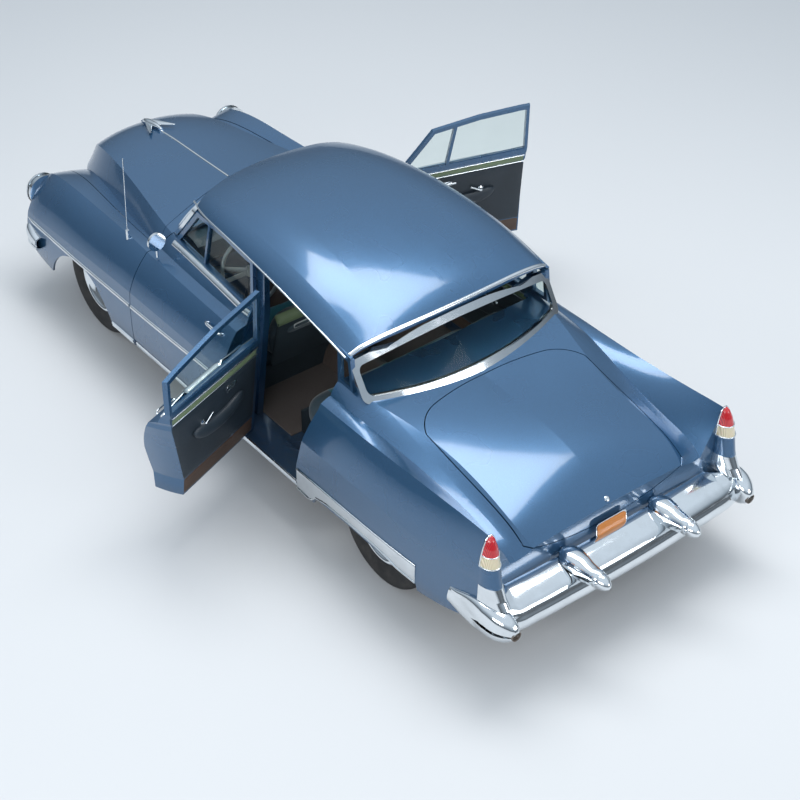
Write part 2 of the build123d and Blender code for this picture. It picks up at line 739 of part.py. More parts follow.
chassis = both_sides(rail())
cross_low_z = 262.0
CROSSMEMBERS = [
    # x | width | low z | high z | half length
    (900, 90, cross_low_z, 309, 560),
    (60, 90, cross_low_z, 309, 560),
    (-560, 90, cross_low_z, 309, 560),
    (-1080, 60, 500, 570, 470),
    (-1960, 60, 500, 570, 470),
    (2150, 80, 372, 440, 400),
]
for x, width, low_z, high_z, reach in CROSSMEMBERS:
    chassis = chassis + box(x - width / 2, x + width / 2, -reach, reach, low_z, high_z)
outrigger = box(-20, 60, 560, 765, cross_low_z, 310) + box(-700, -620, 590, 765, cross_low_z, 310)
outrigger = outrigger + box(960, 1030, 560, 765, cross_low_z, 310)
chassis = chassis + both_sides(outrigger)
spring_seat = box(-882, -872, 556, 616, 340, 464) + box(-1980, -1940, 500, 616, 484 + seat_gap, 540)
chassis = chassis + both_sides(spring_seat)
save("chassis_frame", chassis)

# Engine, with the propeller shaft's front end at its back
engine_rear_x = 1150.0
engine_front_x = 1840.0
engine_half_width = 250.0
engine_low_z = 330.0
engine_top_z = 860.0
shaft_radius = 34.0
with BuildPart() as engine:
    with BuildSketch(Plane.XY.offset(engine_low_z)):
        with Locations(((engine_rear_x + engine_front_x) / 2, 0)):
            Rectangle(engine_front_x - engine_rear_x, 2 * engine_half_width)
    extrude(amount=engine_top_z - engine_low_z)
    fillet(engine.edges().filter_by(Axis.Z), 60)
    chamfer(engine.edges().group_by(Axis.Z)[-1], 30)
save("engine_block", engine.part)

# Front suspension: crossmember, arms and their ball seats
king_low_z = 250.0
king_top_z = 500.0
arm_thick = 26.0
cross_mid = box(1720, 1838, -358, 358, 250, engine_low_z - seat_gap)
arm_low = box(1740, 1818, 352, kingpin_y + 15, king_low_z - arm_thick - seat_gap, king_low_z - seat_gap)
arm_low = arm_low + box(1740, 1818, 300, 360, king_low_z - arm_thick - seat_gap, 330)
arm_high = box(1745, 1813, 330, kingpin_y + 15, king_top_z + seat_gap, king_top_z + seat_gap + arm_thick)
tower = box(1745, 1813, 330, 440, 430 + seat_gap, king_top_z + 20)
suspension = cross_mid + both_sides(arm_low) + both_sides(arm_high + tower)
save("front_suspension", suspension)

# Steering knuckles
spindle_end = 60.0
for side in ("left", "right"):
    post = rod((front_axle_x, kingpin_y, king_low_z), (front_axle_x, kingpin_y, king_top_z), 24)
    spindle = rod((front_axle_x, kingpin_y, wheel_radius),
                  (front_axle_x, front_wheel_y + spindle_end, wheel_radius), spindle_radius)
    plate = rod((front_axle_x, front_wheel_y - 66, wheel_radius), (front_axle_x, front_wheel_y - 4, wheel_radius), drum_radius)
    lever = box(front_axle_x - 150, front_axle_x, kingpin_y - 40, kingpin_y - 12, 300, 322)
    knuckle = post + spindle + plate + lever
    if side == "right":
        knuckle = mirror(knuckle, about=Plane.XZ)
    save(f"knuckle_{side}", knuckle)

# Wheels: rim, disc and cap in one turned piece, and the tyre round it.
# Each point is (radius, distance outward from the wheel's middle plane).
bore = spindle_radius + running_gap
WHEEL = [(197, -85), (rim_radius, -85), (rim_radius, -75), (188, -60), (188, 60), (rim_radius, 75),
         (rim_radius, 85), (197, 85), (180, 70), (150, 54), (112, 52), (104, 62), (66, 78), (0, 84),
         (0, 62), (bore, 62), (bore, 4), (60, 4), (60, 30), (172, 40), (178, -60)]
bead = rim_radius + 0.3
TYRE = [(bead, -76), (252, -97), (310, -tyre_half_width), (352, -86), (367, -64), (wheel_radius, 0),
        (367, 64), (352, 86), (310, tyre_half_width), (252, 97), (bead, 76)]


def turned(profile, x, y):
    """A wheel piece turned about the axle through x and y, left side."""
    with BuildPart() as piece:
        with BuildSketch(Plane(origin=(x, y, wheel_radius), x_dir=(1, 0, 0), z_dir=(0, 0, 1))):
            with BuildLine():
                Polyline(*profile, close=True)
            make_face()
        revolve(axis=Axis((x, y, wheel_radius), (0, 1, 0)))
    return piece.part


for place, x, y in (("front", front_axle_x, front_wheel_y), ("rear", rear_axle_x, rear_wheel_y)):
    wheel, tyre = turned(WHEEL, x, y), turned(TYRE, x, y)
    for side in ("left", "right"):
        if side == "right":
            wheel, tyre = mirror(wheel, about=Plane.XZ), mirror(tyre, about=Plane.XZ)
        save(f"wheel_{place}_{side}", wheel)
        save(f"tyre_{place}_{side}", tyre)

# Rear axle: tube, differential, brake drums, leaf springs and the propeller shaft
tube_radius = 42.0
rear_axle = rod((rear_axle_x, -rear_wheel_y, wheel_radius), (rear_axle_x, rear_wheel_y, wheel_radius), tube_radius)
rear_axle = rear_axle & box(-1600, -1200, -rear_wheel_y + 70, rear_wheel_y - 70, 0, 900)
rear_axle = rear_axle + Pos(rear_axle_x, 0, wheel_radius) * Sphere(150)
hub_end = rear_wheel_y + spindle_end
rear_axle = rear_axle + rod((rear_axle_x, -hub_end, wheel_radius), (rear_axle_x, hub_end, wheel_radius), spindle_radius)
drum = rod((rear_axle_x, rear_wheel_y - 75, wheel_radius), (rear_axle_x, rear_wheel_y - 4, wheel_radius), drum_radius)
spring_y = 589.0
with BuildPart() as spring:
    with BuildSketch(Plane.XZ.offset(-spring_y - 27)):
        with BuildLine():
            ThreePointArc((-880, 484), (rear_axle_x, 318), (-1960, 484))
            Line((-1960, 484), (-1960, 472))
            ThreePointArc((-1960, 472), (rear_axle_x, 288), (-880, 472))
            Line((-880, 472), (-880, 484))
        make_face()
    extrude(amount=54)
clamp = box(rear_axle_x - 60, rear_axle_x + 60, spring_y - 32, spring_y + 32, 300, wheel_radius)
rear_axle = rear_axle + both_sides(drum) + both_sides(spring.part) + both_sides(clamp)
shaft = rod((rear_axle_x, 0, wheel_radius), (engine_rear_x - 1.0, 0, 400), shaft_radius)
rear_axle = rear_axle + shaft
save("rear_axle", rear_axle)

# Exhaust: two pipes with silencers, out to the bumper's ends
pipe_radius = 25.0
pipe_y = 350.0
pipe_z = 225.0


def pipe():
    """The left pipe as straight runs joined by arcs."""
    with BuildPart() as tube:
        with BuildLine() as route:
            FilletPolyline((1300, 305, 318), (1000, pipe_y, pipe_z), (-1880, pipe_y, pipe_z), (-2260, 640, 350),
                           (-2480, 760, 366), radius=90)
        with BuildSketch(route.line ^ 0):
            Circle(pipe_radius)
        sweep()
    return tube.part


silencer = rod((-500, pipe_y, pipe_z - 20), (100, pipe_y, pipe_z - 20), 62)
hanger = box(-600, -520, pipe_y - 10, pipe_y + 10, pipe_z, cross_low_z)
silencer = silencer - box(-700, 200, 200, 500, cross_low_z - 6, 400)
save("exhaust", both_sides(pipe() + silencer + hanger))

# Fuel tank under the trunk floor
with BuildPart() as tank:
    with BuildSketch(Plane.XY.offset(370)):
        with Locations((-2150, 0)):
            Rectangle(300, 800)
    extrude(amount=trunk_floor_z - 370)
    fillet(tank.edges().filter_by(Axis.Z), 50)
    fillet(tank.edges().group_by(Axis.Z)[0], 40)
save("fuel_tank", tank.part)

# Front and rear seats: bench cushions and backs
FRONT_CUSHION = [(120, floor_top_z), (560, floor_top_z), (640, 420), (628, 560), (590, 600), (200, 566), (128, 566)]
FRONT_BACK = [(60, 566 + seat_gap), (190, 566 + seat_gap), (40, 985), (10, 1005), (-40, 1000), (-50, 970)]
REAR_CUSHION = [(-770, floor_top_z), (-360, floor_top_z), (-300, 430), (-310, 580), (-350, 612), (-660, 575),
                (-770, 575)]
REAR_BACK = [(-786, 575 + seat_gap), (-664, 575 + seat_gap), (-790, 1000), (-850, 1018), (-868, 1000),
             (-786, 640)]


def bench(cushion, back, half_width):
    """A bench seat, its cushion hollowed over the tunnel and its back standing on it."""
    hump = rod((-900, 0, tunnel_z), (900, 0, tunnel_z), tunnel_radius + seat_gap)
    return [both_sides(side_prism(cushion, 0, half_width)) - hump, both_sides(side_prism(back, 0, half_width))]


front_seat = bench(FRONT_CUSHION, FRONT_BACK, 640)
rear_seat = bench(REAR_CUSHION, REAR_BACK, 680)
save("front_seat", Compound(children=front_seat))
save("rear_seat", Compound(children=rear_seat))

# Parcel shelf behind the rear seat
shelf = box(-1180, -872, -600, 600, 985, 1000) & outer_body
save("parcel_shelf", shelf)

# Dashboard
dash = both_sides(side_prism([(bulkhead_x, 850), (910, 850), (872, 900), (880, 1010), (930, 1040),
                              (bulkhead_x, 1052)], 0, 560))
dash = (dash & outer_body) - cowl
save("dashboard", dash)

# Steering column and wheel
column_y = 375.0
rim_centre = (560.0, 925.0)
column_foot = (bulkhead_x, 690.0)
lean = Vector(rim_centre[0] - column_foot[0], 0, rim_centre[1] - column_foot[1]).normalized()
column = rod((column_foot[0], column_y, column_foot[1]), (rim_centre[0], column_y, rim_centre[1]), 20) - cowl
with BuildPart() as rim:
    with BuildSketch(Plane(origin=(rim_centre[0], column_y, rim_centre[1]), x_dir=(0, 1, 0),
                           z_dir=Vector(lean.Z, 0, -lean.X))) as ring:
        with Locations((205, 0)):
            Circle(12)
    revolve(axis=Axis((rim_centre[0], column_y, rim_centre[1]), tuple(lean)))
rim_hub = Plane(origin=(rim_centre[0], column_y, rim_centre[1]), x_dir=(0, 1, 0), z_dir=lean)
spokes = rim_hub * (Box(410, 26, 14) + Cylinder(38, 34))
save("steering_column", column + rim.part + spokes)

# Front bumper: a bowed blade with two bullets
tip_x = 2732.0
with BuildPart() as front_blade:
    with BuildSketch(Plane.XY.offset(400)):
        with BuildLine():
            ThreePointArc((2545, -980), (2655, 0), (2545, 980))
            Line((2545, 980), (2300, 1015))
            Line((2300, 1015), (2300, 990))
            Line((2300, 990), (2514, 955))
            ThreePointArc((2514, 955), (2610, 0), (2514, -955))
            Polyline((2514, -955), (2300, -990), (2300, -1015), (2545, -980))
        make_face()
    extrude(amount=170)


def bullet(x_root, x_tip, y, z, radius):
    """A turned guard: a drum with a rounded cone on its end, along the car."""
    sign = 1 if x_tip > x_root else -1
    drum_end = x_tip - sign * 2.0 * radius
    with BuildPart() as guard:
        with BuildSketch(Plane(origin=(0, y, z), x_dir=(1, 0, 0), z_dir=(0, -1, 0))):
            with BuildLine():
                nose = (x_tip - sign * 0.45 * radius, radius * 0.44)
                Polyline((x_tip, 0), (x_root, 0), (x_root, radius), (drum_end, radius))
                ThreePointArc((drum_end, radius), (x_tip - sign * 1.15 * radius, radius * 0.8), nose)
                Polyline(nose, (x_tip - sign * 0.08 * radius, radius * 0.18), (x_tip, radius * 0.08), (x_tip, 0))
            make_face()
        revolve(axis=Axis((0, y, z), (1, 0, 0)))
    return guard.part


front_bullet = bullet(2560, tip_x, 430, 520, 78)
front_arm = box(2440 + seat_gap, 2600, 360, 440, 380, 440)
front_bumper = front_blade.part + both_sides(front_bullet) + both_sides(front_arm)
save("front_bumper", front_bumper)

# Rear bumper: a deep pressed blade, open towards the body, that wraps round the corners, with two guards
blade_low_z = 405.0
blade_top_z = 590.0
blade_wall = 14.0
blade_edge = 26.0        # radius along its upper rear edge
blade_front_x = tail_x - 8
blade_end_x = -2140.0
blade_rear_x = -2582.0   # on the centre line
corner_x = -2562.0
corner_y = 820.0
side_y = 988.0
with BuildPart() as rear_blade:
    with BuildSketch(Plane.XY.offset(blade_low_z)):
        with BuildLine():
            ThreePointArc((corner_x, -corner_y), (blade_rear_x, 0), (corner_x, corner_y))
            for sign in (1, -1):
                ThreePointArc((corner_x, sign * corner_y), (-2505, sign * 935), (-2390, sign * side_y))
                Polyline((-2390, sign * side_y), (blade_end_x, sign * side_y), (blade_end_x, sign * (side_y - 10)),
                         (blade_front_x - 8, sign * 955), (blade_front_x - 8, sign * 860), (blade_front_x, sign * 850))
            Line((blade_front_x, 850), (blade_front_x, -850))
        make_face()
    extrude(amount=blade_top_z - blade_low_z)
    top_edges = rear_blade.edges().group_by(Axis.Z)[-1]
    fillet(top_edges.filter_by(lambda edge: edge.center().X < -2380 and edge.length > 60), blade_edge)
pocket = box(corner_x + 60, blade_front_x + 1, -corner_y + 60, corner_y - 60, blade_low_z - 1, blade_top_z - blade_wall)
rear_bullet = bullet(-2540, -tip_x, 340, 615, 55)
rear_arm = box(-2540, -2318 - seat_gap, 435, 505, 500, 560)
rear_bumper = (rear_blade.part - pocket) + both_sides(rear_bullet) + both_sides(rear_arm)
save("rear_bumper", rear_bumper)

# Headlamps: bezel and lens, turned about the car's length
lamp_y = 782.0
lamp_z = 742.0


def headlamp():
    """The left headlamp, seated on the wing's front wall."""
    profile = [(wing_front_x + seat_gap, 0), (wing_front_x + seat_gap, 118), (2556, 112), (2574, 96), (2592, 60),
               (2598, 0)]
    with BuildPart() as lamp:
        with BuildSketch(Plane(origin=(0, lamp_y, lamp_z), x_dir=(1, 0, 0), z_dir=(0, -1, 0))):
            with BuildLine():
                Polyline(*profile, close=True)
            make_face()
        revolve(axis=Axis((0, lamp_y, lamp_z), (1, 0, 0)))
    return lamp.part


save("headlamps", both_sides(headlamp()))

# Tail lamps, lofted upwards: z | rear x | centre y | half width
tail_foot_x = tail_x - seat_gap
TAIL_LAMP = [
    (600, -2528, 883, 62),
    (707, -2456, 885, 60),
    (834, -2431, 884, 56),
    (903, -2415, 883, 48),
    (1012, -2362, 876, 10),
]
with BuildPart() as tail_lamp:
    for z, rear_x, centre_y, wide in TAIL_LAMP:
        with BuildSketch(Plane.XY.offset(z)):
            with BuildLine():
                ThreePointArc((tail_foot_x, centre_y - wide), (rear_x, centre_y), (tail_foot_x, centre_y + wide))
                Line((tail_foot_x, centre_y + wide), (tail_foot_x, centre_y - wide))
            make_face()
    loft(ruled=True)
save("tail_lamps", both_sides(tail_lamp.part))

# Grille: a coarse egg crate under the hood's nose
grille_front_x = 2520.0
grille_depth = 60.0
grille_low_z = 470.0
grille_top_z = 760.0
grille_half = 585.0
bar = 14.0
grille = box(grille_front_x - grille_depth, grille_front_x, -grille_half, grille_half, grille_low_z, grille_low_z + bar)
for level in range(1, 5):
    z = grille_low_z + level * (grille_top_z - grille_low_z) / 4
    grille = grille + box(grille_front_x - grille_depth, grille_front_x, -grille_half, grille_half, z - bar, z)
for post_number in range(13):
    y = -grille_half + post_number * (2 * grille_half - bar) / 12
    grille = grille + box(grille_front_x - grille_depth, grille_front_x - 6, y, y + bar, grille_low_z, grille_top_z)
save("grille", grille)

# Door mirror and aerial
mirror_foot = (985.0, 800.0)
mirror_parts = rod((mirror_foot[0], mirror_foot[1], 985), (mirror_foot[0], mirror_foot[1], 1070), 9)
mirror_parts = mirror_parts + rod((mirror_foot[0] - 12, mirror_foot[1], 1100), (mirror_foot[0] + 8, mirror_foot[1], 1100), 62)
save("door_mirror", mirror_parts - outer_body)
aerial = rod((1341, 804, 900), (1341, 804, 1010), 12) + rod((1341, 804, 1000), (1300, 804, 1560), 3)
save("aerial", aerial - outer_body)
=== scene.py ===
# %% [markdown]
# # A family sedan of the early 1950s, dressed for its portrait
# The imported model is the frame: every panel, pane and wheel stands in it at its real size, in metres,
# with +X forward, +Y to the car's left and +Z up. This lesson gives those pieces their finishes and
# adds what a drawing of the structure leaves out: trim, lamps, upholstery and tread.

# %% The frame
import bmesh
import bpy
import numpy as np
from mathutils import Matrix, Vector
from mathutils.bvhtree import BVHTree


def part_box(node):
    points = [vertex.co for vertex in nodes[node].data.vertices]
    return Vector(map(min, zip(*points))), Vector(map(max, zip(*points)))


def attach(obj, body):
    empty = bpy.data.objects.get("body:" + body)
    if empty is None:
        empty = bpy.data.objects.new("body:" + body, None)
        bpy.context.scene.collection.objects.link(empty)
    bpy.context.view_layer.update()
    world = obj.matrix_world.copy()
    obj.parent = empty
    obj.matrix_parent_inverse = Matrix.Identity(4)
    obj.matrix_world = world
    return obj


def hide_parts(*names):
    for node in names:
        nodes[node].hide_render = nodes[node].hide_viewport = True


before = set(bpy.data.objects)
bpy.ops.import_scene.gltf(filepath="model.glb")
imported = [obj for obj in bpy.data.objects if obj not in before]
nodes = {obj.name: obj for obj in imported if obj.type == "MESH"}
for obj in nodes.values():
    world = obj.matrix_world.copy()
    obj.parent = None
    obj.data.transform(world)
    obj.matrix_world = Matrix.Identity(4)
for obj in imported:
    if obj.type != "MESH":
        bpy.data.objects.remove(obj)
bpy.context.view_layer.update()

# %% [markdown]
# ## The camera
# The picture was taken from behind the car's left side, from about seven metres up. The place and
# the lens come from solving a pinhole camera on points that can be seen twice, such as the lamps on
# both fenders. A 36 mm sensor and a long lens keep the far fender nearly as large as the near one.

# %% Camera at the picture's place
eye = Vector((-7.5293, 5.5627, 7.3034))
look = Vector((0.62004, -0.48994, -0.61278))
right = look.cross(Vector((0, 0, 1))).normalized()
above = right.cross(look)
camera = bpy.data.objects.new("camera", bpy.data.cameras.new("camera"))
bpy.context.scene.collection.objects.link(camera)
camera.matrix_world = Matrix.Translation(eye) @ Matrix((right, above, -look)).transposed().to_4x4()
camera.data.lens = 81.25
camera.data.sensor_width = 36
camera.data.clip_end = 200
bpy.context.scene.camera = camera
print("camera", tuple(round(c, 2) for c in eye), "lens", camera.data.lens, "mm")

# %% [markdown]
# ## Floor and light
# A car is photographed under one broad soft light, so that the long curves of its panels draw long
# calm highlights. A big lamp overhead, one from the left and a weak one from behind do that. The sky
# is pale above and greyer towards the horizon: polished plate only looks like metal when it has a
# light part and a dark part to mirror.

# %% Floor
def plain_finish(name, color, rough):
    """A material with one even colour: for the stage only."""
    mat = bpy.data.materials.new(name)
    mat.use_nodes = True
    shader = mat.node_tree.nodes["Principled BSDF"]
    shader.inputs["Base Color"].default_value = (*color, 1)
    shader.inputs["Roughness"].default_value = rough
    return mat


floor_mesh = bpy.data.meshes.new("floor")
floor_mesh.from_pydata([(-60, -60, 0), (60, -60, 0), (60, 60, 0), (-60, 60, 0)], [], [(0, 1, 2, 3)])
floor = bpy.data.objects.new("floor", floor_mesh)
bpy.context.scene.collection.objects.link(floor)
floor_mesh.materials.append(plain_finish("pale_floor", (0.62, 0.63, 0.64), 0.9))

# %% Lamps and sky
def soft_lamp(name, place, aim, size, power):
    """A square area lamp at place, facing aim."""
    lamp = bpy.data.objects.new(name, bpy.data.lights.new(name, "AREA"))
    bpy.context.scene.collection.objects.link(lamp)
    lamp.data.shape = "RECTANGLE"
    lamp.data.size, lamp.data.size_y = size
    lamp.data.energy = power
    turn = (Vector(aim) - Vector(place)).to_track_quat("-Z", "Y")
    lamp.matrix_world = Matrix.Translation(place) @ turn.to_matrix().to_4x4()
    return lamp


soft_lamp("overhead", (0.5, -1.0, 7.5), (0, 0, 0.5), (7, 3.0), 420)
soft_lamp("left_side", (-4.0, 8.5, 4.5), (0, 0, 0.8), (6, 2.5), 330)
soft_lamp("behind", (-9.0, -3.0, 4.0), (0, 0, 0.8), (4, 2.5), 180)
world = bpy.data.worlds.new("sky")
bpy.context.scene.world = world
world.use_nodes = True
sky = world.node_tree
direction = sky.nodes.new("ShaderNodeTexCoord")
split = sky.nodes.new("ShaderNodeSeparateXYZ")
ramp = sky.nodes.new("ShaderNodeValToRGB")
sky.links.new(direction.outputs["Generated"], split.inputs[0])
sky.links.new(split.outputs["Z"], ramp.inputs["Fac"])
horizon, zenith = ramp.color_ramp.elements
horizon.color, horizon.position = (0.10, 0.11, 0.12, 1), 0.0
zenith.color, zenith.position = (0.80, 0.90, 1.0, 1), 0.75
ramp.color_ramp.elements.new(0.28).color = (0.30, 0.36, 0.42, 1)
sky.links.new(ramp.outputs["Color"], sky.nodes["Background"].inputs["Color"])
sky.nodes["Background"].inputs["Strength"].default_value = 0.9
bpy.context.scene.view_settings.view_transform = "Standard"
print("stage: floor, 3 lamps and a graded sky")

# %% [markdown]
# ## Finishes
# Every finish starts from the same shader and differs in what is laid over it. Patterns read Object
# coordinates, which are metres on the car because each piece keeps its place in its mesh, so a weave
# of 2 mm is written as a scale of 500. One value that is even all over goes straight on the shader.

# %% Helpers that lay nodes down
def toned(color, share):
    """A colour made darker or lighter: each channel times share."""
    return tuple(c * share for c in color)


class Finish:
    """A material named after what it covers, with its shader at hand and nodes added one by one."""

    def __init__(self, name, **even):
        self.mat = bpy.data.materials.new(name)
        self.mat.use_nodes = True
        self.tree = self.mat.node_tree
        self.shader = self.tree.nodes["Principled BSDF"]
        self.coords = self.tree.nodes.new("ShaderNodeTexCoord").outputs["Object"]
        for socket, value in even.items():
            self.shader.inputs[socket.replace("_", " ")].default_value = value

    def node(self, kind, settings=None, **inputs):
        """Adds a node; an input is a number, a colour or another node's output."""
        made = self.tree.nodes.new("ShaderNode" + kind)
        for key, value in (settings or {}).items():
            setattr(made, key, value)
        for key, value in inputs.items():
            socket = made.inputs[key] if key in made.inputs else made.inputs[int(key[1:])]
            if isinstance(value, bpy.types.NodeSocket):
                self.tree.links.new(value, socket)
            else:
                socket.default_value = value
        return made

    def into(self, socket, output):
        """Links an output to the shader."""
        self.tree.links.new(output, self.shader.inputs[socket])

    def speckle(self, scale, detail=3.0, rough=0.55, coords=None):
        """Noise from 0 to 1 at so many spots a metre."""
        return self.node("TexNoise", Vector=coords or self.coords, Scale=scale, Detail=detail,
                         Roughness=rough).outputs["Fac"]

    def band(self, value, low, high, to_low=0.0, to_high=1.0):
        """Stretches the part of value between low and high over a new range."""
        return self.node("MapRange", None, Value=value, **{"From Min": low, "From Max": high,
                         "To Min": to_low, "To Max": to_high}).outputs["Result"]

    def math(self, operation, *values):
        """One step of arithmetic on numbers or outputs."""
        inputs = {f"i{k}": value for k, value in enumerate(values)}
        return self.node("Math", {"operation": operation}, **inputs).outputs[0]

    def mixed(self, share, first, second):
        """A colour between two, by share."""
        pair = [c if isinstance(c, bpy.types.NodeSocket) else (*c, 1) for c in (first, second)]
        made = self.tree.nodes.new("ShaderNodeMix")
        made.data_type = "RGBA"
        for socket, value in zip((made.inputs["Factor"], made.inputs[6], made.inputs[7]), [share] + pair):
            if isinstance(value, bpy.types.NodeSocket):
                self.tree.links.new(value, socket)
            else:
                socket.default_value = value
        return made.outputs[2]

    def relief(self, height, strength, depth):
        """Bump of so many metres from a height pattern."""
        bump = self.node("Bump", None, Height=height, Strength=strength, Distance=depth)
        self.into("Normal", bump.outputs["Normal"])


# %% [markdown]
# ### Metallic paint
# Lacquer with aluminium flake under a clear coat: the colour shifts a little from flake to flake, the
# coat mirrors sharply, and road dust dulls it towards the sills. A plain metallic value would turn
# the whole body to foil, so only a part of it is metallic.

# %% Paint
DUST_FROM, DUST_FULL = 0.42, 0.26  # heights in metres between which road dust grows


def paint(name, base, lift=1.35):
    """Lacquer in colour base: fine flakes, broad cloudy shifts, a thin clear coat and dull low edges."""
    f = Finish(name, Metallic=0.55, Coat_Weight=1.0, Coat_Roughness=0.09, Coat_IOR=1.5)
    flake = f.node("TexVoronoi", None, Vector=f.coords, Scale=900.0).outputs["Color"]
    level = f.node("SeparateColor", None, Color=flake).outputs[0]
    cloud = f.speckle(2.2, 4)
    light, shade = toned(base, lift), toned(base, 0.72)
    tone = f.mixed(f.band(level, 0, 1, 0.1, 0.9), shade, light)
    tone = f.mixed(f.band(cloud, 0.0, 1.0, 0.0, 0.25), tone, shade)
    height = f.node("SeparateXYZ", None, Vector=f.coords).outputs["Z"]
    dust = f.math("MULTIPLY", f.band(height, DUST_FROM, DUST_FULL), f.speckle(30))
    f.into("Base Color", f.mixed(dust, tone, (0.12, 0.11, 0.10)))
    f.into("Roughness", f.band(f.speckle(3, 2), 0.0, 1.0, 0.24, 0.32))
    f.relief(f.speckle(260, 2), 0.03, 0.0003)
    return f.mat


body_paint = paint("body_paint", (0.032, 0.105, 0.215))
inner_paint = paint("inner_paint", (0.028, 0.090, 0.19))

# %% [markdown]
# ### Bright plate, glass and dull metal
# Chrome needs almost no colour of its own. Fine wiping scratches and a faint haze keep it from
# looking like liquid mercury. Glass of that time is flat and slightly green.

# %% Chrome, steel and glass
def plate(name, base=(0.78, 0.82, 0.85), rough=0.06, haze=0.10):
    """Polished plate: clear mirror with hazy patches and fine wiping marks."""
    f = Finish(name, Metallic=1.0)
    haze_map = f.speckle(9, 6)
    f.into("Roughness", f.band(haze_map, 0.35, 0.75, rough, rough + haze))
    f.into("Base Color", f.mixed(f.band(haze_map, 0.4, 0.8), base, toned(base, 0.86)))
    f.relief(f.speckle(700, 2), 0.03, 0.0002)
    return f.mat


def clear(name, tint, rough=0.02, weight=1.0):
    """Flat window glass with a faint film of dust."""
    f = Finish(name, Transmission_Weight=weight, IOR=1.12)
    film = f.speckle(6, 6)
    f.into("Base Color", f.mixed(f.band(film, 0.3, 0.8), tint, toned(tint, 0.96)))
    f.into("Roughness", f.band(film, 0.4, 0.8, rough, rough + 0.015))
    return f.mat


def cast(name, base, rough=0.55, metal=0.0, grain=60.0, depth=0.0006, dirt=(0.10, 0.085, 0.07)):
    """Rough painted or bare iron: pits, worn tone and road dirt in patches."""
    f = Finish(name, Metallic=metal)
    patches = f.speckle(7, 6)
    f.into("Base Color", f.mixed(f.band(patches, 0.45, 0.8, 0.0, 0.7), base, dirt))
    f.into("Roughness", f.band(f.speckle(grain, 4), 0.3, 0.7, rough - 0.08, rough + 0.12))
    f.relief(f.speckle(grain * 4, 3), 0.35, depth)
    return f.mat


chrome = plate("bright_chrome")
trim_chrome = plate("trim_chrome", rough=0.12, haze=0.12)
window_glass = clear("window_glass", (0.86, 0.93, 0.91))
chassis_black = cast("chassis_black", (0.022, 0.022, 0.025))
worn_steel = cast("worn_steel", (0.28, 0.27, 0.26), 0.42, 0.9)
exhaust_steel = cast("exhaust_steel", (0.22, 0.20, 0.18), 0.5, 0.8, dirt=(0.14, 0.08, 0.05))

# %% [markdown]
# ### Rubber, cloth, carpet and enamel
# Rubber has a fine pebble and dries paler. The seats are woven in two tones: a check of warp and
# weft is two waves at right angles. Carpet is loops, so its bump is deep and its sheen soft.

# %% Rubber and soft finishes
THREAD_WAVES = 6.3  # scale 1 draws 3.2 bands a metre; a crest and its hollow count as a thread each


def rubber(name, base=(0.018, 0.018, 0.019)):
    """Black rubber, a little paler where it is dry."""
    f = Finish(name, Specular_IOR_Level=0.35)
    dry = f.speckle(22, 5)
    f.into("Base Color", f.mixed(f.band(dry, 0.4, 0.75), base, (0.05, 0.048, 0.046)))
    f.into("Roughness", f.band(dry, 0.3, 0.7, 0.55, 0.75))
    f.relief(f.speckle(900, 3), 0.3, 0.0003)
    return f.mat


def woven(name, warp, weft, threads=420.0, sheen=0.35):
    """Cloth: threads crossing at right angles, each a soft ridge, with slubs and shaded patches."""
    f = Finish(name, Sheen_Weight=sheen, Sheen_Roughness=0.4, Roughness=0.85)
    waves = [f.node("TexWave", {"wave_type": "BANDS", "bands_direction": axis}, Vector=f.coords,
                    Scale=threads / THREAD_WAVES, Distortion=0.6, Detail=1.0).outputs["Fac"] for axis in "XY"]
    over = f.math("GREATER_THAN", *waves)
    slub = f.speckle(90, 3)
    tone = f.mixed(over, warp, weft)
    tone = f.mixed(f.band(f.speckle(3, 2), 0.3, 0.7, 0.0, 0.2), tone, toned(warp, 0.7))
    f.into("Base Color", f.mixed(f.band(slub, 0.6, 0.8, 0.0, 0.15), tone, toned(weft, 1.3)))
    height = f.math("MAXIMUM", *waves)
    f.relief(height, 0.5, 0.0008)
    return f.mat


def looped(name, base, scale=350.0):
    """Carpet: short loops, with a painted highlight on each crown and painted shade at each foot."""
    f = Finish(name, Sheen_Weight=0.4, Roughness=0.95)
    loops = f.node("TexVoronoi", None, Vector=f.coords, Scale=scale).outputs["Distance"]
    # painted light and shade: each loop is lighter at its crown and darker at its foot, between the loops
    lit_tips, shaded_roots = toned(base, 1.5), toned(base, 0.5)
    f.into("Base Color", f.mixed(f.band(loops, 0.0, 0.6), lit_tips, shaded_roots))
    f.relief(loops, 0.8, 0.002)
    return f.mat


def grained(name, base, rough=0.42, scale=320.0, depth=0.0005):
    """Coated hide or moulded plastic: fine pebble grain, shiny on the crowns and dull in the valleys."""
    f = Finish(name)
    cells = f.node("TexVoronoi", {"feature": "SMOOTH_F1"}, Vector=f.coords, Scale=scale).outputs["Distance"]
    f.into("Base Color", f.mixed(f.band(f.speckle(6, 5), 0.35, 0.7), base, toned(base, 0.78)))
    f.into("Roughness", f.band(cells, 0.1, 0.6, rough - 0.08, rough + 0.14))
    f.relief(cells, 0.4, depth)
    return f.mat


tyre_rubber = rubber("tyre_rubber")
seat_cloth = woven("seat_cloth", (0.030, 0.075, 0.10), (0.045, 0.105, 0.135))
shelf_cloth = woven("shelf_cloth", (0.035, 0.085, 0.085), (0.06, 0.13, 0.13), 300)
brown_carpet = looped("brown_carpet", (0.075, 0.045, 0.032))
door_cloth = grained("door_cloth", (0.020, 0.032, 0.045))
dash_enamel = grained("dash_enamel", (0.025, 0.05, 0.07), 0.3, 500, 0.0002)
ivory_plastic = grained("ivory_plastic", (0.42, 0.45, 0.46), 0.3, 600, 0.0002)
print("finishes:", len(bpy.data.materials))

# %% [markdown]
# ## Dressing the frame's own pieces
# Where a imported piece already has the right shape, only its material changes. The mesh stays.

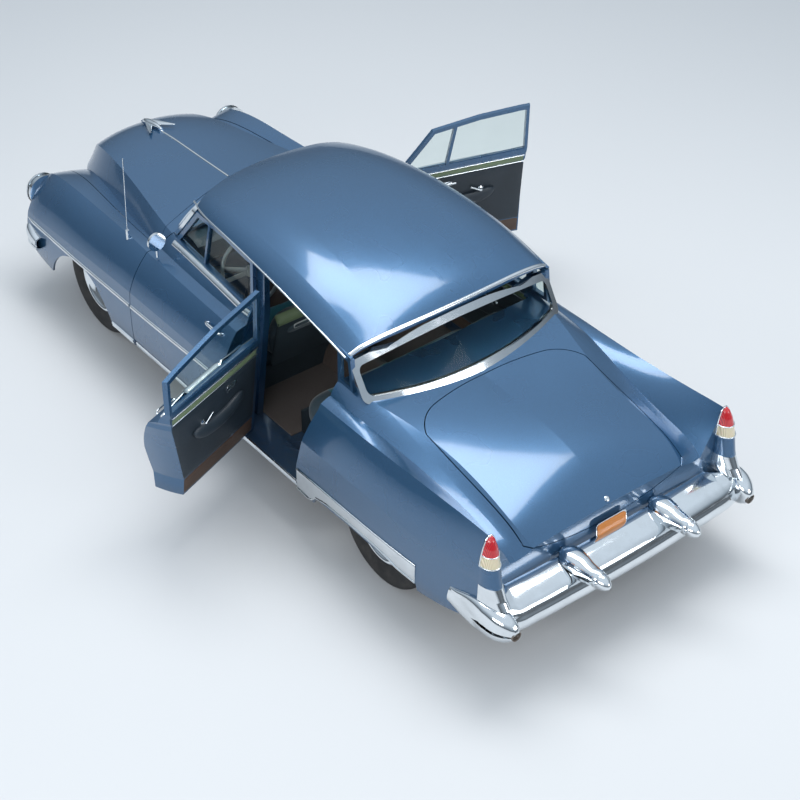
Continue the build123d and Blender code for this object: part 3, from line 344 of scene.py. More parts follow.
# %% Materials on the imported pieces
DRESS = {
    body_paint: ["cowl", "front_wing_left", "front_wing_right", "roof", "rear_deck", "quarter_panel_left",
                 "quarter_panel_right", "hood", "trunk_lid", "door_front_left", "door_front_right",
                 "door_rear_left", "door_rear_right"],
    inner_paint: ["centre_posts", "floor_pan"],
    chrome: ["windscreen_frame", "backlight_frame", "front_bumper", "rear_bumper", "grille", "aerial",
             "door_mirror", "headlamps", "tail_lamps", "wheel_front_left", "wheel_front_right",
             "wheel_rear_left", "wheel_rear_right"],
    window_glass: ["windscreen", "rear_glass", "door_glass_front_left", "door_glass_front_right",
                   "door_glass_rear_left", "door_glass_rear_right"],
    chassis_black: ["chassis_frame", "front_suspension", "rear_axle", "engine_block", "fuel_tank"],
    worn_steel: ["knuckle_left", "knuckle_right"],
    exhaust_steel: ["exhaust"],
    seat_cloth: ["front_seat", "rear_seat"],
    shelf_cloth: ["parcel_shelf"],
    dash_enamel: ["dashboard"],
    ivory_plastic: ["steering_column"],
    tyre_rubber: ["tyre_front_left", "tyre_front_right", "tyre_rear_left", "tyre_rear_right"],
}


def dress(name, mat):
    """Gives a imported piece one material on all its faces."""
    mesh = nodes[name].data
    mesh.materials.clear()
    mesh.materials.append(mat)
    mesh.polygons.foreach_set("material_index", np.zeros(len(mesh.polygons), np.int32))


for mat, names in DRESS.items():
    for name in names:
        dress(name, mat)
print("dressed", sum(len(names) for names in DRESS.values()), "of", len(nodes), "pieces")

# %% [markdown]
# ## Making surfaces from arrays
# Trim is drawn with three ideas. A strip is a profile carried along a path. A lamp, a cap or a tyre is
# a profile turned about an axis. Anything freer is a grid of points, a function of two parameters.
# All three end as a grid, so one function can close it and hand it to the mesh.

# %% From a grid to a piece
def grid_faces(rows, cols, wrap_rows, wrap_cols):
    """Quads between neighbours of a rows by cols grid, going round where it wraps."""
    i = np.arange(rows if wrap_rows else rows - 1)[:, None]
    j = np.arange(cols if wrap_cols else cols - 1)[None, :]
    down, over = (i + 1) % rows, (j + 1) % cols
    return np.stack([i * cols + j, down * cols + j, down * cols + over, i * cols + over], -1).reshape(-1, 4)


def add_piece(name, points, faces, mat, body, smooth=40.0):
    """Puts points and faces in a mesh, turns the faces outwards and lets the piece ride on a body."""
    mesh = bpy.data.meshes.new(name)
    mesh.from_pydata(np.asarray(points, float).reshape(-1, 3), [], faces)
    made = bpy.data.objects.new(name, mesh)
    bpy.context.scene.collection.objects.link(made)
    bm = bmesh.new()
    bm.from_mesh(mesh)
    bmesh.ops.remove_doubles(bm, verts=bm.verts, dist=1e-6)
    bmesh.ops.recalc_face_normals(bm, faces=bm.faces)
    bm.to_mesh(mesh)
    bm.free()
    mesh.materials.append(mat)
    mesh.polygons.foreach_set("use_smooth", np.ones(len(mesh.polygons), bool))
    mesh.set_sharp_from_angle(angle=np.radians(smooth))
    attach(made, body)
    return made


def add_grid(name, grid, mat, body, slot=None, wrap=(False, False), caps=False, smooth=40.0):
    """A grid of points (rows, cols, 3) as a piece; caps closes the first and last row with one face."""
    rows, cols = grid.shape[:2]
    faces = grid_faces(rows, cols, *wrap).tolist()
    if caps:
        faces += [list(range(cols)), list(range((rows - 1) * cols, rows * cols))]
    return add_piece(name, grid, faces, mat, body, smooth)


def unit(v):
    """Each vector divided by its length."""
    return v / np.maximum(np.linalg.norm(v, axis=-1, keepdims=True), 1e-12)


def carried(path, profile, out, size=1.0):
    """A profile (across, out) carried along a path: path + size * (p0 * across + p1 * out).
    size is one number, one a row, or a pair a row for across and out."""
    path, profile = np.asarray(path, float), np.asarray(profile, float)
    out = np.broadcast_to(np.asarray(out, float), path.shape)
    along = unit(np.gradient(path, axis=0))
    across = unit(np.cross(along, out))
    out = unit(np.cross(across, along))
    size = np.broadcast_to(np.asarray(size, float).reshape(-1, 1 if np.ndim(size) < 2 else 2), (len(path), 2))
    return (path[:, None] + size[:, None, :1] * profile[None, :, :1] * across[:, None]
            + size[:, None, 1:] * profile[None, :, 1:] * out[:, None])


def turned(profile, centre, axis, count=64):
    """A profile (radius, along) turned about an axis: centre + along * axis + radius * (cos a, sin a)."""
    profile, axis = np.asarray(profile, float), unit(np.asarray(axis, float))
    first = unit(np.cross(axis, (0.13, 0.21, 0.97)))
    second = np.cross(axis, first)
    a = np.linspace(0, 2 * np.pi, count, endpoint=False)
    ring = np.cos(a)[:, None] * first + np.sin(a)[:, None] * second
    return np.asarray(centre, float) + profile[:, None, 1:] * axis + profile[:, None, :1] * ring


def smooth_line(points, count):
    """A flowing line through points: each coordinate a cubic in the length along them."""
    points = np.asarray(points, float)
    t = np.concatenate([[0], np.cumsum(np.linalg.norm(np.diff(points, axis=0), axis=1))])
    slope = np.gradient(points, t, axis=0)
    u = np.linspace(0, t[-1], count)
    k = np.clip(np.searchsorted(t, u, side="right") - 1, 0, len(t) - 2)
    h = (t[k + 1] - t[k])[:, None]
    w = ((u - t[k]) / h[:, 0])[:, None]
    return ((1 + 2 * w) * (1 - w) ** 2 * points[k] + w * (1 - w) ** 2 * h * slope[k]
            + w * w * (3 - 2 * w) * points[k + 1] + w * w * (w - 1) * h * slope[k + 1])


def half_round(width, height, count=9):
    """A strip's profile: flat below, round above."""
    a = np.linspace(0, np.pi, count)
    return np.stack([width / 2 * np.cos(a), height * np.sin(a)], -1)


def squared_circle(count, power):
    """Cosine and sine once round, pushed towards a square: sign(c) * |c| ^ (2 / power)."""
    a = np.linspace(0, 2 * np.pi, count, endpoint=False)
    return [np.sign(c) * abs(c) ** (2 / power) for c in (np.cos(a), np.sin(a))]


def ring_of(width, height, count=16, power=2.0):
    """A closed oval profile, boxier as power grows."""
    c, d = squared_circle(count, power)
    return np.stack([width / 2 * c, height / 2 * d], -1)


# %% [markdown]
# ## Finding the skin
# Trim sits on the panels, so its path is laid on them: a ray is shot at the closed left side and the
# strip starts where it lands. The left rear and right front doors stand open, so the closed side is put
# together from whichever door is shut, mirrored if need be, and trim made there is then mirrored or
# swung with its door.

# %% The closed left side and where it goes
PIN = {"front": np.array([1.086, 0.968]), "rear": np.array([0.004, 0.968])}
OPEN_TURN = np.radians(69.0)
OPEN_DOORS = [("rear", "left"), ("front", "right")]
BESIDE, OVERHEAD = 2.0, 3.0  # where rays start, clear of the car


def mesh_arrays(name, mirror=False):
    """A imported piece's points and triangles as lists."""
    mesh = nodes[name].data
    co = np.zeros(len(mesh.vertices) * 3)
    mesh.vertices.foreach_get("co", co)
    co = co.reshape(-1, 3) * (1, -1 if mirror else 1, 1)
    return co, [tuple(f.vertices) for f in mesh.polygons]


def tree_of(*parts):
    """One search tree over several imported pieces."""
    points, faces, start = [], [], 0
    for name, mirror in parts:
        co, tri = mesh_arrays(name, mirror)
        points.append(co)
        faces += [tuple(i + start for i in f) for f in tri]
        start += len(co)
    return BVHTree.FromPolygons(np.concatenate(points).tolist(), faces)


side_tree = tree_of(("front_wing_left", False), ("door_front_left", False), ("door_rear_right", True),
                    ("quarter_panel_left", False), ("cowl", False))
top_tree = tree_of(*((name, False) for name in ("hood", "trunk_lid", "rear_deck", "roof", "cowl",
                                                "front_wing_left", "quarter_panel_left")))


def struck(tree, starts, way):
    """Where rays from starts along way meet a tree, and the skin's direction there, turned to face them."""
    hits = [tree.ray_cast(start, way) for start in np.asarray(starts, float).tolist()]
    normal = np.array([h[1] for h in hits])
    facing = -np.sign(normal @ np.array(way, float))
    return np.array([h[0] for h in hits]), normal * facing[:, None]


def on_side(x, z):
    """Points of the closed left side at (x, z), and the direction out of it."""
    return struck(side_tree, [(a, BESIDE, b) for a, b in zip(x, z)], (0, -1, 0))


def on_top(x, y):
    """Points of the car's upper side at (x, y), and the direction out of it."""
    return struck(top_tree, [(a, b, OVERHEAD) for a, b in zip(x, y)], (0, 0, -1))


def swing(points, place, side):
    """Closed left side points put on the left or right door, turned about its pin if that door is open."""
    points = np.array(points, float)
    if (place, side) in OPEN_DOORS:
        c, s = np.cos(-OPEN_TURN), np.sin(-OPEN_TURN)
        flat = points[..., :2] - PIN[place]
        points[..., :2] = flat @ np.array([[c, s], [-s, c]]) + PIN[place]
    return points * (1, 1 if side == "left" else -1, 1)


BODY_OF = {("front", "left"): "front_door_left", ("front", "right"): "front_door_right",
           ("rear", "left"): "rear_door_left", ("rear", "right"): "rear_door_right"}


def both_doors(name, place, grid, mat, slot=None, **more):
    """The same piece on the left and the right door."""
    return [add_grid(f"{name}_{place}_{side}", swing(grid, place, side), mat, BODY_OF[place, side], slot, **more)
            for side in ("left", "right")]


def both_sides(name, grid, mat, body="body", slot=None, **more):
    """The same piece on the left and mirrored on the right."""
    return [add_grid(f"{name}_{side}", grid * (1, sign, 1), mat, body, slot, **more)
            for side, sign in (("left", 1), ("right", -1))]


# %% [markdown]
# ## Bright strips along the sides
# A thin spear runs from the headlamp over the front door, a stepped strip covers the sill, and a wide
# ribbed plate guards the rear fender ahead of and over the wheel. Each strip ends a few millimetres
# short of a shut line, so that it opens with its door.

# %% Spear and sill strips
def side_strip(x_from, x_to, z_line, profile, count=40, taper=None):
    """A profile carried along the closed side between two x, at heights z_line(x)."""
    x = np.linspace(x_from, x_to, count)
    path, out = on_side(x, z_line(x))
    size = 1.0 if taper is None else np.interp(x, *taper)
    return carried(path - 0.0005 * out, profile, out, size)


def spear_z(x):
    """Height of the spear at x: it falls a little towards the headlamp."""
    return np.interp(x, [0.06, 0.27, 1.12, 1.80, 2.41, 2.52], [0.640, 0.637, 0.614, 0.602, 0.600, 0.603])


def sill_z(x):
    """Height of the sill strip ahead of the doors."""
    return np.full_like(x, 0.325)


spear = half_round(0.030, 0.010)
wing_spear = side_strip(1.108, 2.49, spear_z, spear, 60, ([2.40, 2.49], [1.0, 0.35]))
both_sides("spear_wing", wing_spear, trim_chrome, slot="bright_chrome", caps=True)
door_spear = side_strip(0.06, 1.092, spear_z, spear, 50, ([0.06, 0.16], [0.15, 1.0]))
both_doors("spear_door", "front", door_spear, trim_chrome, "bright_chrome", caps=True)
step = np.array([(-0.019, 0.0), (-0.019, 0.006), (-0.010, 0.010), (-0.002, 0.006), (0.006, 0.011), (0.016, 0.009),
                 (0.019, 0.004), (0.019, 0.0)])
SILL_Y, SILL_Z = 0.9585, 0.322
sill_x = np.linspace(-0.72, 1.08, 50)
sill_path = np.stack([sill_x, np.full(50, SILL_Y), np.full(50, SILL_Z)], -1)
both_sides("sill_strip", carried(sill_path, step, (0, 1, 0)), trim_chrome, slot="bright_chrome", caps=True)
both_sides("sill_strip_front", side_strip(1.108, 1.372, sill_z, step, 12), trim_chrome, slot="bright_chrome",
           caps=True)
print("side strips laid on the skin")

# %% [markdown]
# ## Tail lamps
# The fender ends in a small fin, and the lamp is the fin's rear face: a red lens on top, a cream
# reversing lens below it, a band of body colour, and a bright boot that flares down to the bumper. All
# of them are slices of one column, whose half ellipse narrows upwards, so they fit by construction.

# %% One column, cut in slices
LAMP_Z = [0.596, 0.640, 0.707, 0.834, 0.903, 0.950, 0.990, 1.010]
LAMP_REAR = [-2.526, -2.492, -2.456, -2.431, -2.415, -2.402, -2.382, -2.362]
LAMP_HALF = [0.064, 0.061, 0.060, 0.056, 0.048, 0.038, 0.024, 0.008]
LAMP_ROOT = -2.3505  # where the column meets the fender
LAMP_MIDDLE_Z, LAMP_MIDDLE_Y = [0.596, 0.85, 1.01], [0.884, 0.884, 0.876]


def lamp_slice(z_from, z_to, swell=0.0, rows=24, cols=33):
    """Half ellipses from the column's table: x = root - depth cos a, y = middle + half width sin a."""
    z = np.linspace(z_from, z_to, rows)[:, None]
    a = np.linspace(-np.pi / 2, np.pi / 2, cols)[None, :]
    depth = LAMP_ROOT - np.interp(z, LAMP_Z, LAMP_REAR) + swell
    half = np.interp(z, LAMP_Z, LAMP_HALF) + swell
    middle = np.interp(z, LAMP_MIDDLE_Z, LAMP_MIDDLE_Y)
    x, y = LAMP_ROOT - depth * np.cos(a), middle + half * np.sin(a)
    return np.stack([x, y, np.broadcast_to(z, x.shape)], -1)


def lens(name, color, deep):
    """Moulded lamp glass: clear colour over fine upright flutes, with painted shade in the hollows."""
    f = Finish(name, Coat_Weight=1.0, Coat_Roughness=0.03, Roughness=0.22, Subsurface_Weight=0.15,
               Subsurface_Scale=0.01)
    flutes = f.node("TexWave", {"bands_direction": "Y"}, Vector=f.coords, Scale=55.0,
                    Distortion=0.0).outputs["Fac"]
    # deep is painted shade: the lens colour darkened in the flutes' hollows
    f.into("Base Color", f.mixed(flutes, deep, color))
    f.relief(flutes, 0.35, 0.001)
    return f.mat


# the second colour of each lens is painted shade for its flute hollows
red_lens = lens("red_lens", (0.72, 0.02, 0.025), (0.30, 0.0, 0.01))
cream_lens = lens("cream_lens", (0.80, 0.72, 0.52), (0.55, 0.46, 0.30))
SLICES = [
    ("lamp_boot", 0.597, 0.707, chrome, "bright_chrome", 0.003),
    ("lamp_band", 0.707, 0.832, body_paint, "body_paint", 0.0),
    ("cream_lamp", 0.836, 0.900, cream_lens, "lamp_glass", 0.001),
    ("red_lamp", 0.906, 1.006, red_lens, "red_lens", 0.002),
]
for name, low, high, mat, slot, swell in SLICES:
    slices = both_sides(name, lamp_slice(low, high, swell), mat, slot=slot, caps=True)
    if name == "lamp_boot":
        for piece in slices:
            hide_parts("tail_lamps")
CREAM_FOOT, RED_FOOT = 0.834, 0.903
for name, z in (("lamp_ring_low", CREAM_FOOT), ("lamp_ring", RED_FOOT)):
    path = lamp_slice(z - 1e-4, z, 0.002, 2)[1]
    wire = carried(path, ring_of(0.008, 0.008, 10), (0, 0, 1))
    both_sides(name, wire, trim_chrome, slot="bright_chrome", caps=True)
edge = lamp_slice(CREAM_FOOT, 1.008, 0.003, 30)
hoop = carried(np.concatenate([edge[:, 0], edge[::-1, -1]]), ring_of(0.009, 0.011, 10), (-1, 0, 0))
both_sides("lamp_hoop", hoop, trim_chrome, slot="bright_chrome", caps=True)
print("tail lamps:", len(SLICES), "slices, two rings and a hoop a side")

# %% [markdown]
# ## Bumpers
# Both bumpers are one pressed blade with a rolled top, a shallow groove and a full belly, bowed across
# the car and wrapped round its corners. A blade is a closed profile carried along that bow. The guards
# swell out of the blade as a saddle and run back into a bullet with a separate cone.

# %% Blades
def mirrored(half):
    """A path given from one end to the middle, completed with its mirror image."""
    half = np.asarray(half, float)
    return np.concatenate([half, half[-2::-1] * (1, -1, 1)])


front_face = [(0.086, -0.052), (0.096, -0.030), (0.090, -0.010), (0.066, 0.000), (0.046, -0.004), (0.036, -0.011),
              (0.024, -0.006), (0.0, 0.002), (-0.034, 0.003), (-0.070, -0.006), (-0.090, -0.028), (-0.094, -0.055)]
front_back = [(-0.088, -0.052), (-0.060, -0.016), (0.0, -0.008), (0.060, -0.012), (0.080, -0.050)]
rear_face = [(0.094, -0.206), (0.097, -0.190), (0.094, -0.150), (0.080, -0.100), (0.056, -0.052), (0.030, -0.026),
             (0.022, -0.022), (0.014, -0.018), (-0.010, -0.004), (-0.045, 0.000), (-0.076, -0.010), (-0.091, -0.035),
             (-0.094, -0.070)]
rear_back = [(-0.088, -0.066), (-0.060, -0.022), (-0.010, -0.014), (0.046, -0.056), (0.080, -0.120), (0.088, -0.200)]
rear_line = [(-2.145, 0.985), (-2.28, 0.986), (-2.38, 0.981), (-2.455, 0.957), (-2.515, 0.905), (-2.548, 0.82),
             (-2.562, 0.66), (-2.570, 0.42), (-2.576, 0.20), (-2.578, 0.0)]
front_line = [(2.305, 1.008), (2.40, 1.000), (2.49, 0.974), (2.555, 0.905), (2.598, 0.78), (2.628, 0.55),
              (2.646, 0.28), (2.652, 0.0)]


def bumper_blade(name, line, z, height, node, face, back, corner=1.0):
    """The blade's profile carried along a bow in plan, less tall at its ends and less deep past its corners."""
    blade = np.concatenate([smooth_line(face, 40), smooth_line(back, 18)])
    path = smooth_line(mirrored([(x, y, z) for x, y in line]), 160)
    along = unit(np.gradient(path, axis=0))
    out = unit(np.cross(along, (0, 0, 1)))
    out = out * np.sign(np.sum(out * (path - (0, 0, z)), -1, keepdims=True))
    t = np.linspace(0, 1, len(path))
    tall = height * np.clip(np.interp(t, [0, 0.05, 0.12, 0.88, 0.95, 1], [0.55, 0.85, 1, 1, 0.85, 0.55]), 0, 1)
    deep = np.interp(abs(path[:, 1]), [0, 0.80, 0.92, 1.02], [1, 1, corner, corner * 0.9])
    made = add_grid(name, carried(path, blade * (-1, 1), out, np.stack([tall, deep], -1)), chrome, "body",
                    "bright_chrome", wrap=(False, True), caps=True, smooth=50)
    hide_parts(node)
    return made


bumper_blade("rear_blade", rear_line, 0.500, 1.0, "rear_bumper", rear_face, rear_back, 0.26)
bumper_blade("front_blade", front_line, 0.487, 0.92, "front_bumper", front_face, front_back)

# %% Guards, end pods and outlets
def along_x(stations, count, power=2.3):
    """Rings (x, z middle, width, height) along the car joined smoothly: a squared oval that changes size."""
    line = smooth_line([(x, z, w) for x, z, w, h in stations], count)
    high = smooth_line([(x, 0, h) for x, z, w, h in stations], count)[:, 2]
    path = np.stack([line[:, 0], np.zeros(count), line[:, 1]], -1)
    return carried(path, ring_of(1.0, 1.0, 40, power), (0, 0, 1), np.stack([line[:, 2], high], -1))


REAR_GUARD_Y, FRONT_GUARD_Y = 0.34, 0.43
rear_saddle = [(-2.374, 0.600, 0.03, 0.02), (-2.390, 0.602, 0.13, 0.090), (-2.430, 0.596, 0.150, 0.125),
               (-2.500, 0.588, 0.140, 0.140), (-2.570, 0.592, 0.114, 0.116), (-2.620, 0.598, 0.104, 0.104)]
both_sides("rear_saddle", along_x(rear_saddle, 50) + (0, REAR_GUARD_Y, 0), chrome, slot="bright_chrome", caps=True)
drum = [(0.0, -2.60), (0.050, -2.60), (0.0515, -2.606), (0.0515, -2.650), (0.049, -2.655), (0.0, -2.655)]
cone = [(0.0, -2.655), (0.046, -2.655), (0.0475, -2.660), (0.044, -2.680), (0.036, -2.700), (0.024, -2.718),
        (0.012, -2.7275), (0.0, -2.731)]
for name, profile in (("rear_drum", drum), ("rear_cone", cone)):
    both_sides(name, turned(profile, (0, REAR_GUARD_Y, 0.600), (1, 0, 0), 40), chrome, slot="bright_chrome",
               wrap=(False, True))
front_guard = [(0.0, 2.56), (0.074, 2.56), (0.076, 2.575), (0.074, 2.62), (0.066, 2.66), (0.052, 2.695),
               (0.030, 2.720), (0.012, 2.7295), (0.0, 2.7315)]
both_sides("front_guard", turned(front_guard, (0, FRONT_GUARD_Y, 0.520), (1, 0, 0), 48), chrome,
           slot="bright_chrome", wrap=(False, True))
pod = [(-2.16, 0.500, 0.030, 0.09), (-2.30, 0.500, 0.066, 0.17), (-2.42, 0.500, 0.110, 0.197),
       (-2.53, 0.498, 0.130, 0.190), (-2.585, 0.495, 0.088, 0.150), (-2.604, 0.493, 0.056, 0.100),
       (-2.608, 0.492, 0.02, 0.04)]
pod_grid = along_x(pod, 60, 2.6)
pod_grid[..., 1] += np.interp(pod_grid[..., 0], [-2.61, -2.55, -2.42, -2.2], [0.893, 0.905, 0.935, 0.960])
both_sides("bumper_pod", pod_grid, chrome, slot="bright_chrome", caps=True)
outlet = [(0.0, -2.600), (0.026, -2.600), (0.026, -2.612), (0.031, -2.612), (0.031, -2.598), (0.0, -2.598)]
both_sides("exhaust_outlet", turned(outlet, (0, 0.893, 0.486), (1, 0, 0), 32), exhaust_steel, slot="bare_steel",
           wrap=(False, True))
print("bumpers: 2 blades, 4 guards, 2 pods")

# %% [markdown]
# ## Wheels and tyres
# A tyre is turned from its section: two bulged side walls and a nearly flat tread with four grooves.
# The steel wheel is already in the frame and only gets paint. Over it go a bright trim ring and a
# domed cap with a plain red and gold centre.

# %% Turned parts of each wheel
half_tyre = smooth_line([(0.2056, 0.074), (0.226, 0.086), (0.262, 0.0975), (0.305, 0.101), (0.340, 0.0925),
                         (0.360, 0.078), (0.3675, 0.060), (0.3695, 0.030), (0.3698, 0.0)], 70)
GROOVE_DEPTH, TREAD_FROM, RIB_HEIGHT, RIB_AT = 0.008, 0.36, 0.0015, 0.325
groove = np.max([np.exp(-((half_tyre[:, 1] - at) / 0.0035) ** 4) for at in (0.018, 0.046)], 0)
half_tyre[:, 0] -= GROOVE_DEPTH * groove * (half_tyre[:, 0] > TREAD_FROM)
half_tyre[:, 0] += RIB_HEIGHT * np.exp(-((half_tyre[:, 0] - RIB_AT) / 0.004) ** 2)
tyre_section = np.concatenate([half_tyre, half_tyre[-2::-1] * (1, -1)])
trim_ring = [(0.2040, 0.072), (0.2044, 0.083), (0.2000, 0.0868), (0.1930, 0.0845), (0.1850, 0.0765),
             (0.1790, 0.0725), (0.1650, 0.0650), (0.1520, 0.0580), (0.1480, 0.0555), (0.1480, 0.0530),
             (0.1700, 0.0600), (0.1950, 0.0700)]
cap = [(0.0, 0.0600), (0.1060, 0.0540), (0.1075, 0.0600), (0.1030, 0.0660), (0.0960, 0.0680), (0.0920, 0.0715),
       (0.0800, 0.0765), (0.0620, 0.0805), (0.0500, 0.0815), (0.0470, 0.0800), (0.0, 0.0800)]
medallion = [(0.0, 0.0800), (0.0450, 0.0800), (0.0440, 0.0830), (0.0380, 0.0850), (0.0200, 0.0862), (0.0, 0.0866)]


def medal(name):
    """Enamel of a cap's centre: red and gold mixed by fine noise."""
    f = Finish(name, Coat_Weight=0.8, Coat_Roughness=0.1, Roughness=0.3)
    f.into("Base Color", f.mixed(f.speckle(160, 2), (0.50, 0.030, 0.018), (0.42, 0.20, 0.03)))
    f.relief(f.speckle(300, 2), 0.2, 0.0003)
    return f.mat


cap_enamel = medal("cap_enamel")
HALF_RIM = 0.085  # from the wheel's inner edge to the tyre's middle
COVERS = [
    ("trim_ring", trim_ring, chrome, "wheel_chrome"),
    ("cap", cap, chrome, "wheel_chrome"),
    ("cap_centre", medallion, cap_enamel, "red_lens"),
]
for which in ("front_left", "front_right", "rear_left", "rear_right"):
    name = "wheel_" + which
    body = "road_" + name
    dress(name, inner_paint)
    low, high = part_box(name)
    centre, sign = (low + high) / 2, 1 if low.y > 0 else -1
    hub = (centre.x, low.y + HALF_RIM if sign > 0 else high.y - HALF_RIM, centre.z)
    tyre = add_grid("tyre_tread_" + which, turned(tyre_section, hub, (0, sign, 0), 120), tyre_rubber, body,
                    "tyre_rubber", wrap=(True, True), smooth=60)
    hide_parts("tyre_" + which)
    for part, profile, mat, slot in COVERS:
        add_grid(f"{part}_{which}", turned(profile, hub, (0, sign, 0), 72), mat, body, slot,
                 wrap=(part == "trim_ring", True))
print("4 wheels with treaded tyres, rings and caps")

# %% [markdown]
# ## Doors from the inside
# Two doors stand open, so their inner sides face the camera. A door of this kind is trimmed in layers:
# a brown kick strip, a dark coated board, a pale band under the window and a painted rail on top. Each
# layer is a flat grid raised a few millimetres, its rim rolled down onto the steel, and they follow
# the door's inner wall, which leans in from the sill to the belt.

# %% Trim boards
def inner_wall(x, z):
    """Half width of the doors' inner wall: straight from the sill to the belt, at x."""
    belt = np.interp(x, [-0.890, 0.100, 1.110], [0.722, 0.695, 0.612])
    return 0.790 + (belt - 0.790) * (z - 0.329) / 0.741


def rear_limit(place, z):
    """The door's rear shut line in side view."""
    if place == "front":
        return np.full_like(z, 0.034)
    return np.interp(z, [0.352, 0.470, 0.930, 1.09], [-0.715, -0.715, -0.832, -0.832])


def front_limit(place, z):
    """The door's front shut line in side view, kept clear of the hinge post."""
    if place == "rear":
        return np.full_like(z, 0.004)
    return np.interp(z, [0.352, 1.000, 1.07], [1.083, 1.083, 1.030])


def board(place, z_from, z_to, thick, margin=0.010, rows=14, cols=60, power=16.0):
    """A raised board: y = wall - thick * (1 - |2s-1|^power) * (1 - |2t-1|^power)."""
    s, t = np.linspace(0, 1, cols)[None, :], np.linspace(0, 1, rows)[:, None]
    z = z_from + (z_to - z_from) * t + 0 * s
    low, high = rear_limit(place, z) + margin, front_limit(place, z) - margin
    x = low + (high - low) * s
    lift = thick * (1 - abs(2 * s - 1) ** power) * (1 - abs(2 * t - 1) ** power)
    return np.stack([x, inner_wall(x, z) + 0.0004 - lift, z], -1)


INWARDS = (0, -1, 0)


def on_wall(place, name, x, z, away, profile, mat, slot="bright_chrome", size=1.0):
    """A profile carried over a door's inner wall along (x, z), away metres off it towards the seats."""
    path = np.stack([x, inner_wall(x, z) - away, z], -1)
    both_doors(name, place, carried(path, profile, INWARDS, size), mat, slot, caps=True)


pale_board = grained("pale_board", (0.20, 0.27, 0.15), 0.4)
kick_board = grained("kick_board", (0.10, 0.060, 0.042), 0.5)
GRIP_MIDDLE = {"front": 0.50, "rear": -0.40}
LEVER_Z, CRANK_Z = 0.905, 0.80
CRANK_CAP = [(0, 0.0), (0.026, 0.0), (0.024, 0.012), (0.012, 0.018), (0.010, 0.030), (0, 0.030)]
u = np.linspace(-1, 1, 40)
for place, middle in GRIP_MIDDLE.items():
    both_doors("kick_board", place, board(place, 0.362, 0.470, 0.006), kick_board, "seat_cloth")
    both_doors("door_board", place, board(place, 0.474, 0.962, 0.010, rows=40), door_cloth, "seat_cloth")
    both_doors("pale_band", place, board(place, 0.972, 1.012, 0.007, rows=8, power=8.0), pale_board, "seat_cloth")
    for name, z in (("door_bead_low", 0.967), ("door_bead_high", 1.017)):
        x = np.linspace(rear_limit(place, np.array(z)) + 0.012, front_limit(place, np.array(z)) - 0.012, 40)
        on_wall(place, name, x, np.full(40, z), 0.001, half_round(0.009, 0.007, 7), trim_chrome)
    on_wall(place, "armrest", middle + 0.24 * u, 0.735 + 0.055 * u ** 2, 0.020, ring_of(0.095, 0.060, 20, 2.6),
            door_cloth, "seat_cloth", np.sqrt(np.clip(1 - u ** 4, 0.02, 1)))
    on_wall(place, "lever_plate", middle + 0.13 + 0.055 * u, np.full(40, LEVER_Z), 0.011,
            ring_of(0.030, 0.008, 14, 4), chrome, size=np.clip(1 - u ** 6, 0.1, 1))
    x = middle + 0.10 + 0.045 * u
    path = np.stack([x, inner_wall(x, LEVER_Z) - 0.030 + 0.008 * u, LEVER_Z - 0.006 * u], -1)
    lever = carried(path, ring_of(0.014, 0.008, 12), INWARDS, 1 - 0.4 * u ** 2)
    both_doors("door_lever", place, lever, chrome, "bright_chrome", caps=True)
    crank_x = middle - 0.14
    hub = (crank_x, float(inner_wall(crank_x, CRANK_Z)), CRANK_Z)
    both_doors("crank_hub", place, turned(CRANK_CAP, hub, INWARDS, 28), chrome, "bright_chrome", wrap=(False, True))
    s = np.linspace(0, 1, 12)
    path = np.array(hub) + np.stack([0.075 * s, np.full(12, -0.030), 0.035 * s], -1)
    both_doors("crank_arm", place, carried(path, ring_of(0.013, 0.008, 12), INWARDS), chrome, "bright_chrome",
               caps=True)
print("door boards, armrests and levers on four doors")

# %% [markdown]
# ## Outside fittings of the doors and the roof
# A pull handle is a bowed bar on two feet. The wide bright strip at the foot of the side
# windows, the drip rail and the strip along the roof's rear edge are all carried profiles.

# %% Handles, belt strips and drip rails
BELOW_RAIL = 1.30  # a plumb line starts under the window's upper rail and lands on the belt


def drop(x, y):
    """Where a plumb line at (x, y) meets the closed left side."""
    return struck(side_tree, [(a, b, BELOW_RAIL) for a, b in zip(x, y)], (0, 0, -1))


def glass_foot(x):
    """Half width of the side windows' lower edge at x."""
    return np.interp(x, [-1.060, 0.100, 0.763, 1.110], [0.752, 0.722, 0.668, 0.640])


SUNK = 0.001  # how deep a strip's flat side is let into the paint
HANDLE_Z, HALF_HANDLE = 0.905, 0.085
FOOT = [(0, -0.002), (0.012, -0.002), (0.010, 0.010), (0.008, 0.020), (0, 0.020)]
u = np.linspace(-1, 1, 31)
for place, x_from, x_to, handle_x in (("front", 0.030, 0.985, 0.20), ("rear", -0.846, 0.006, -0.64)):
    x = np.linspace(x_from, x_to, 50)
    path, up = drop(x, glass_foot(x) + 0.025)
    belt = carried(path - SUNK * up, half_round(0.044, 0.010), up)
    both_doors("belt_strip", place, belt, trim_chrome, "bright_chrome", caps=True)
    path, out = on_side(handle_x + HALF_HANDLE * u, np.full(31, HANDLE_Z))
    bow = path + out * (0.012 + 0.020 * (1 - u[:, None] ** 6))
    bar = carried(bow, ring_of(0.020, 0.012, 14), out, np.sqrt(np.clip(1.05 - u ** 6, 0.1, 1)))
    both_doors("pull_handle", place, bar, chrome, "bright_chrome", caps=True)
    for k, at in (("a", 1), ("b", 29)):
        both_doors(f"handle_foot_{k}", place, turned(FOOT, path[at], out[at], 20), chrome, "bright_chrome",
                   wrap=(False, True))
ROOF_EDGE = np.array([(0.86, 0.572, 1.376), (0.70, 0.625, 1.395), (0.40, 0.680, 1.425), (0.0, 0.722, 1.430),
                      (-0.40, 0.750, 1.400), (-0.75, 0.757, 1.340), (-0.95, 0.757, 1.292)])
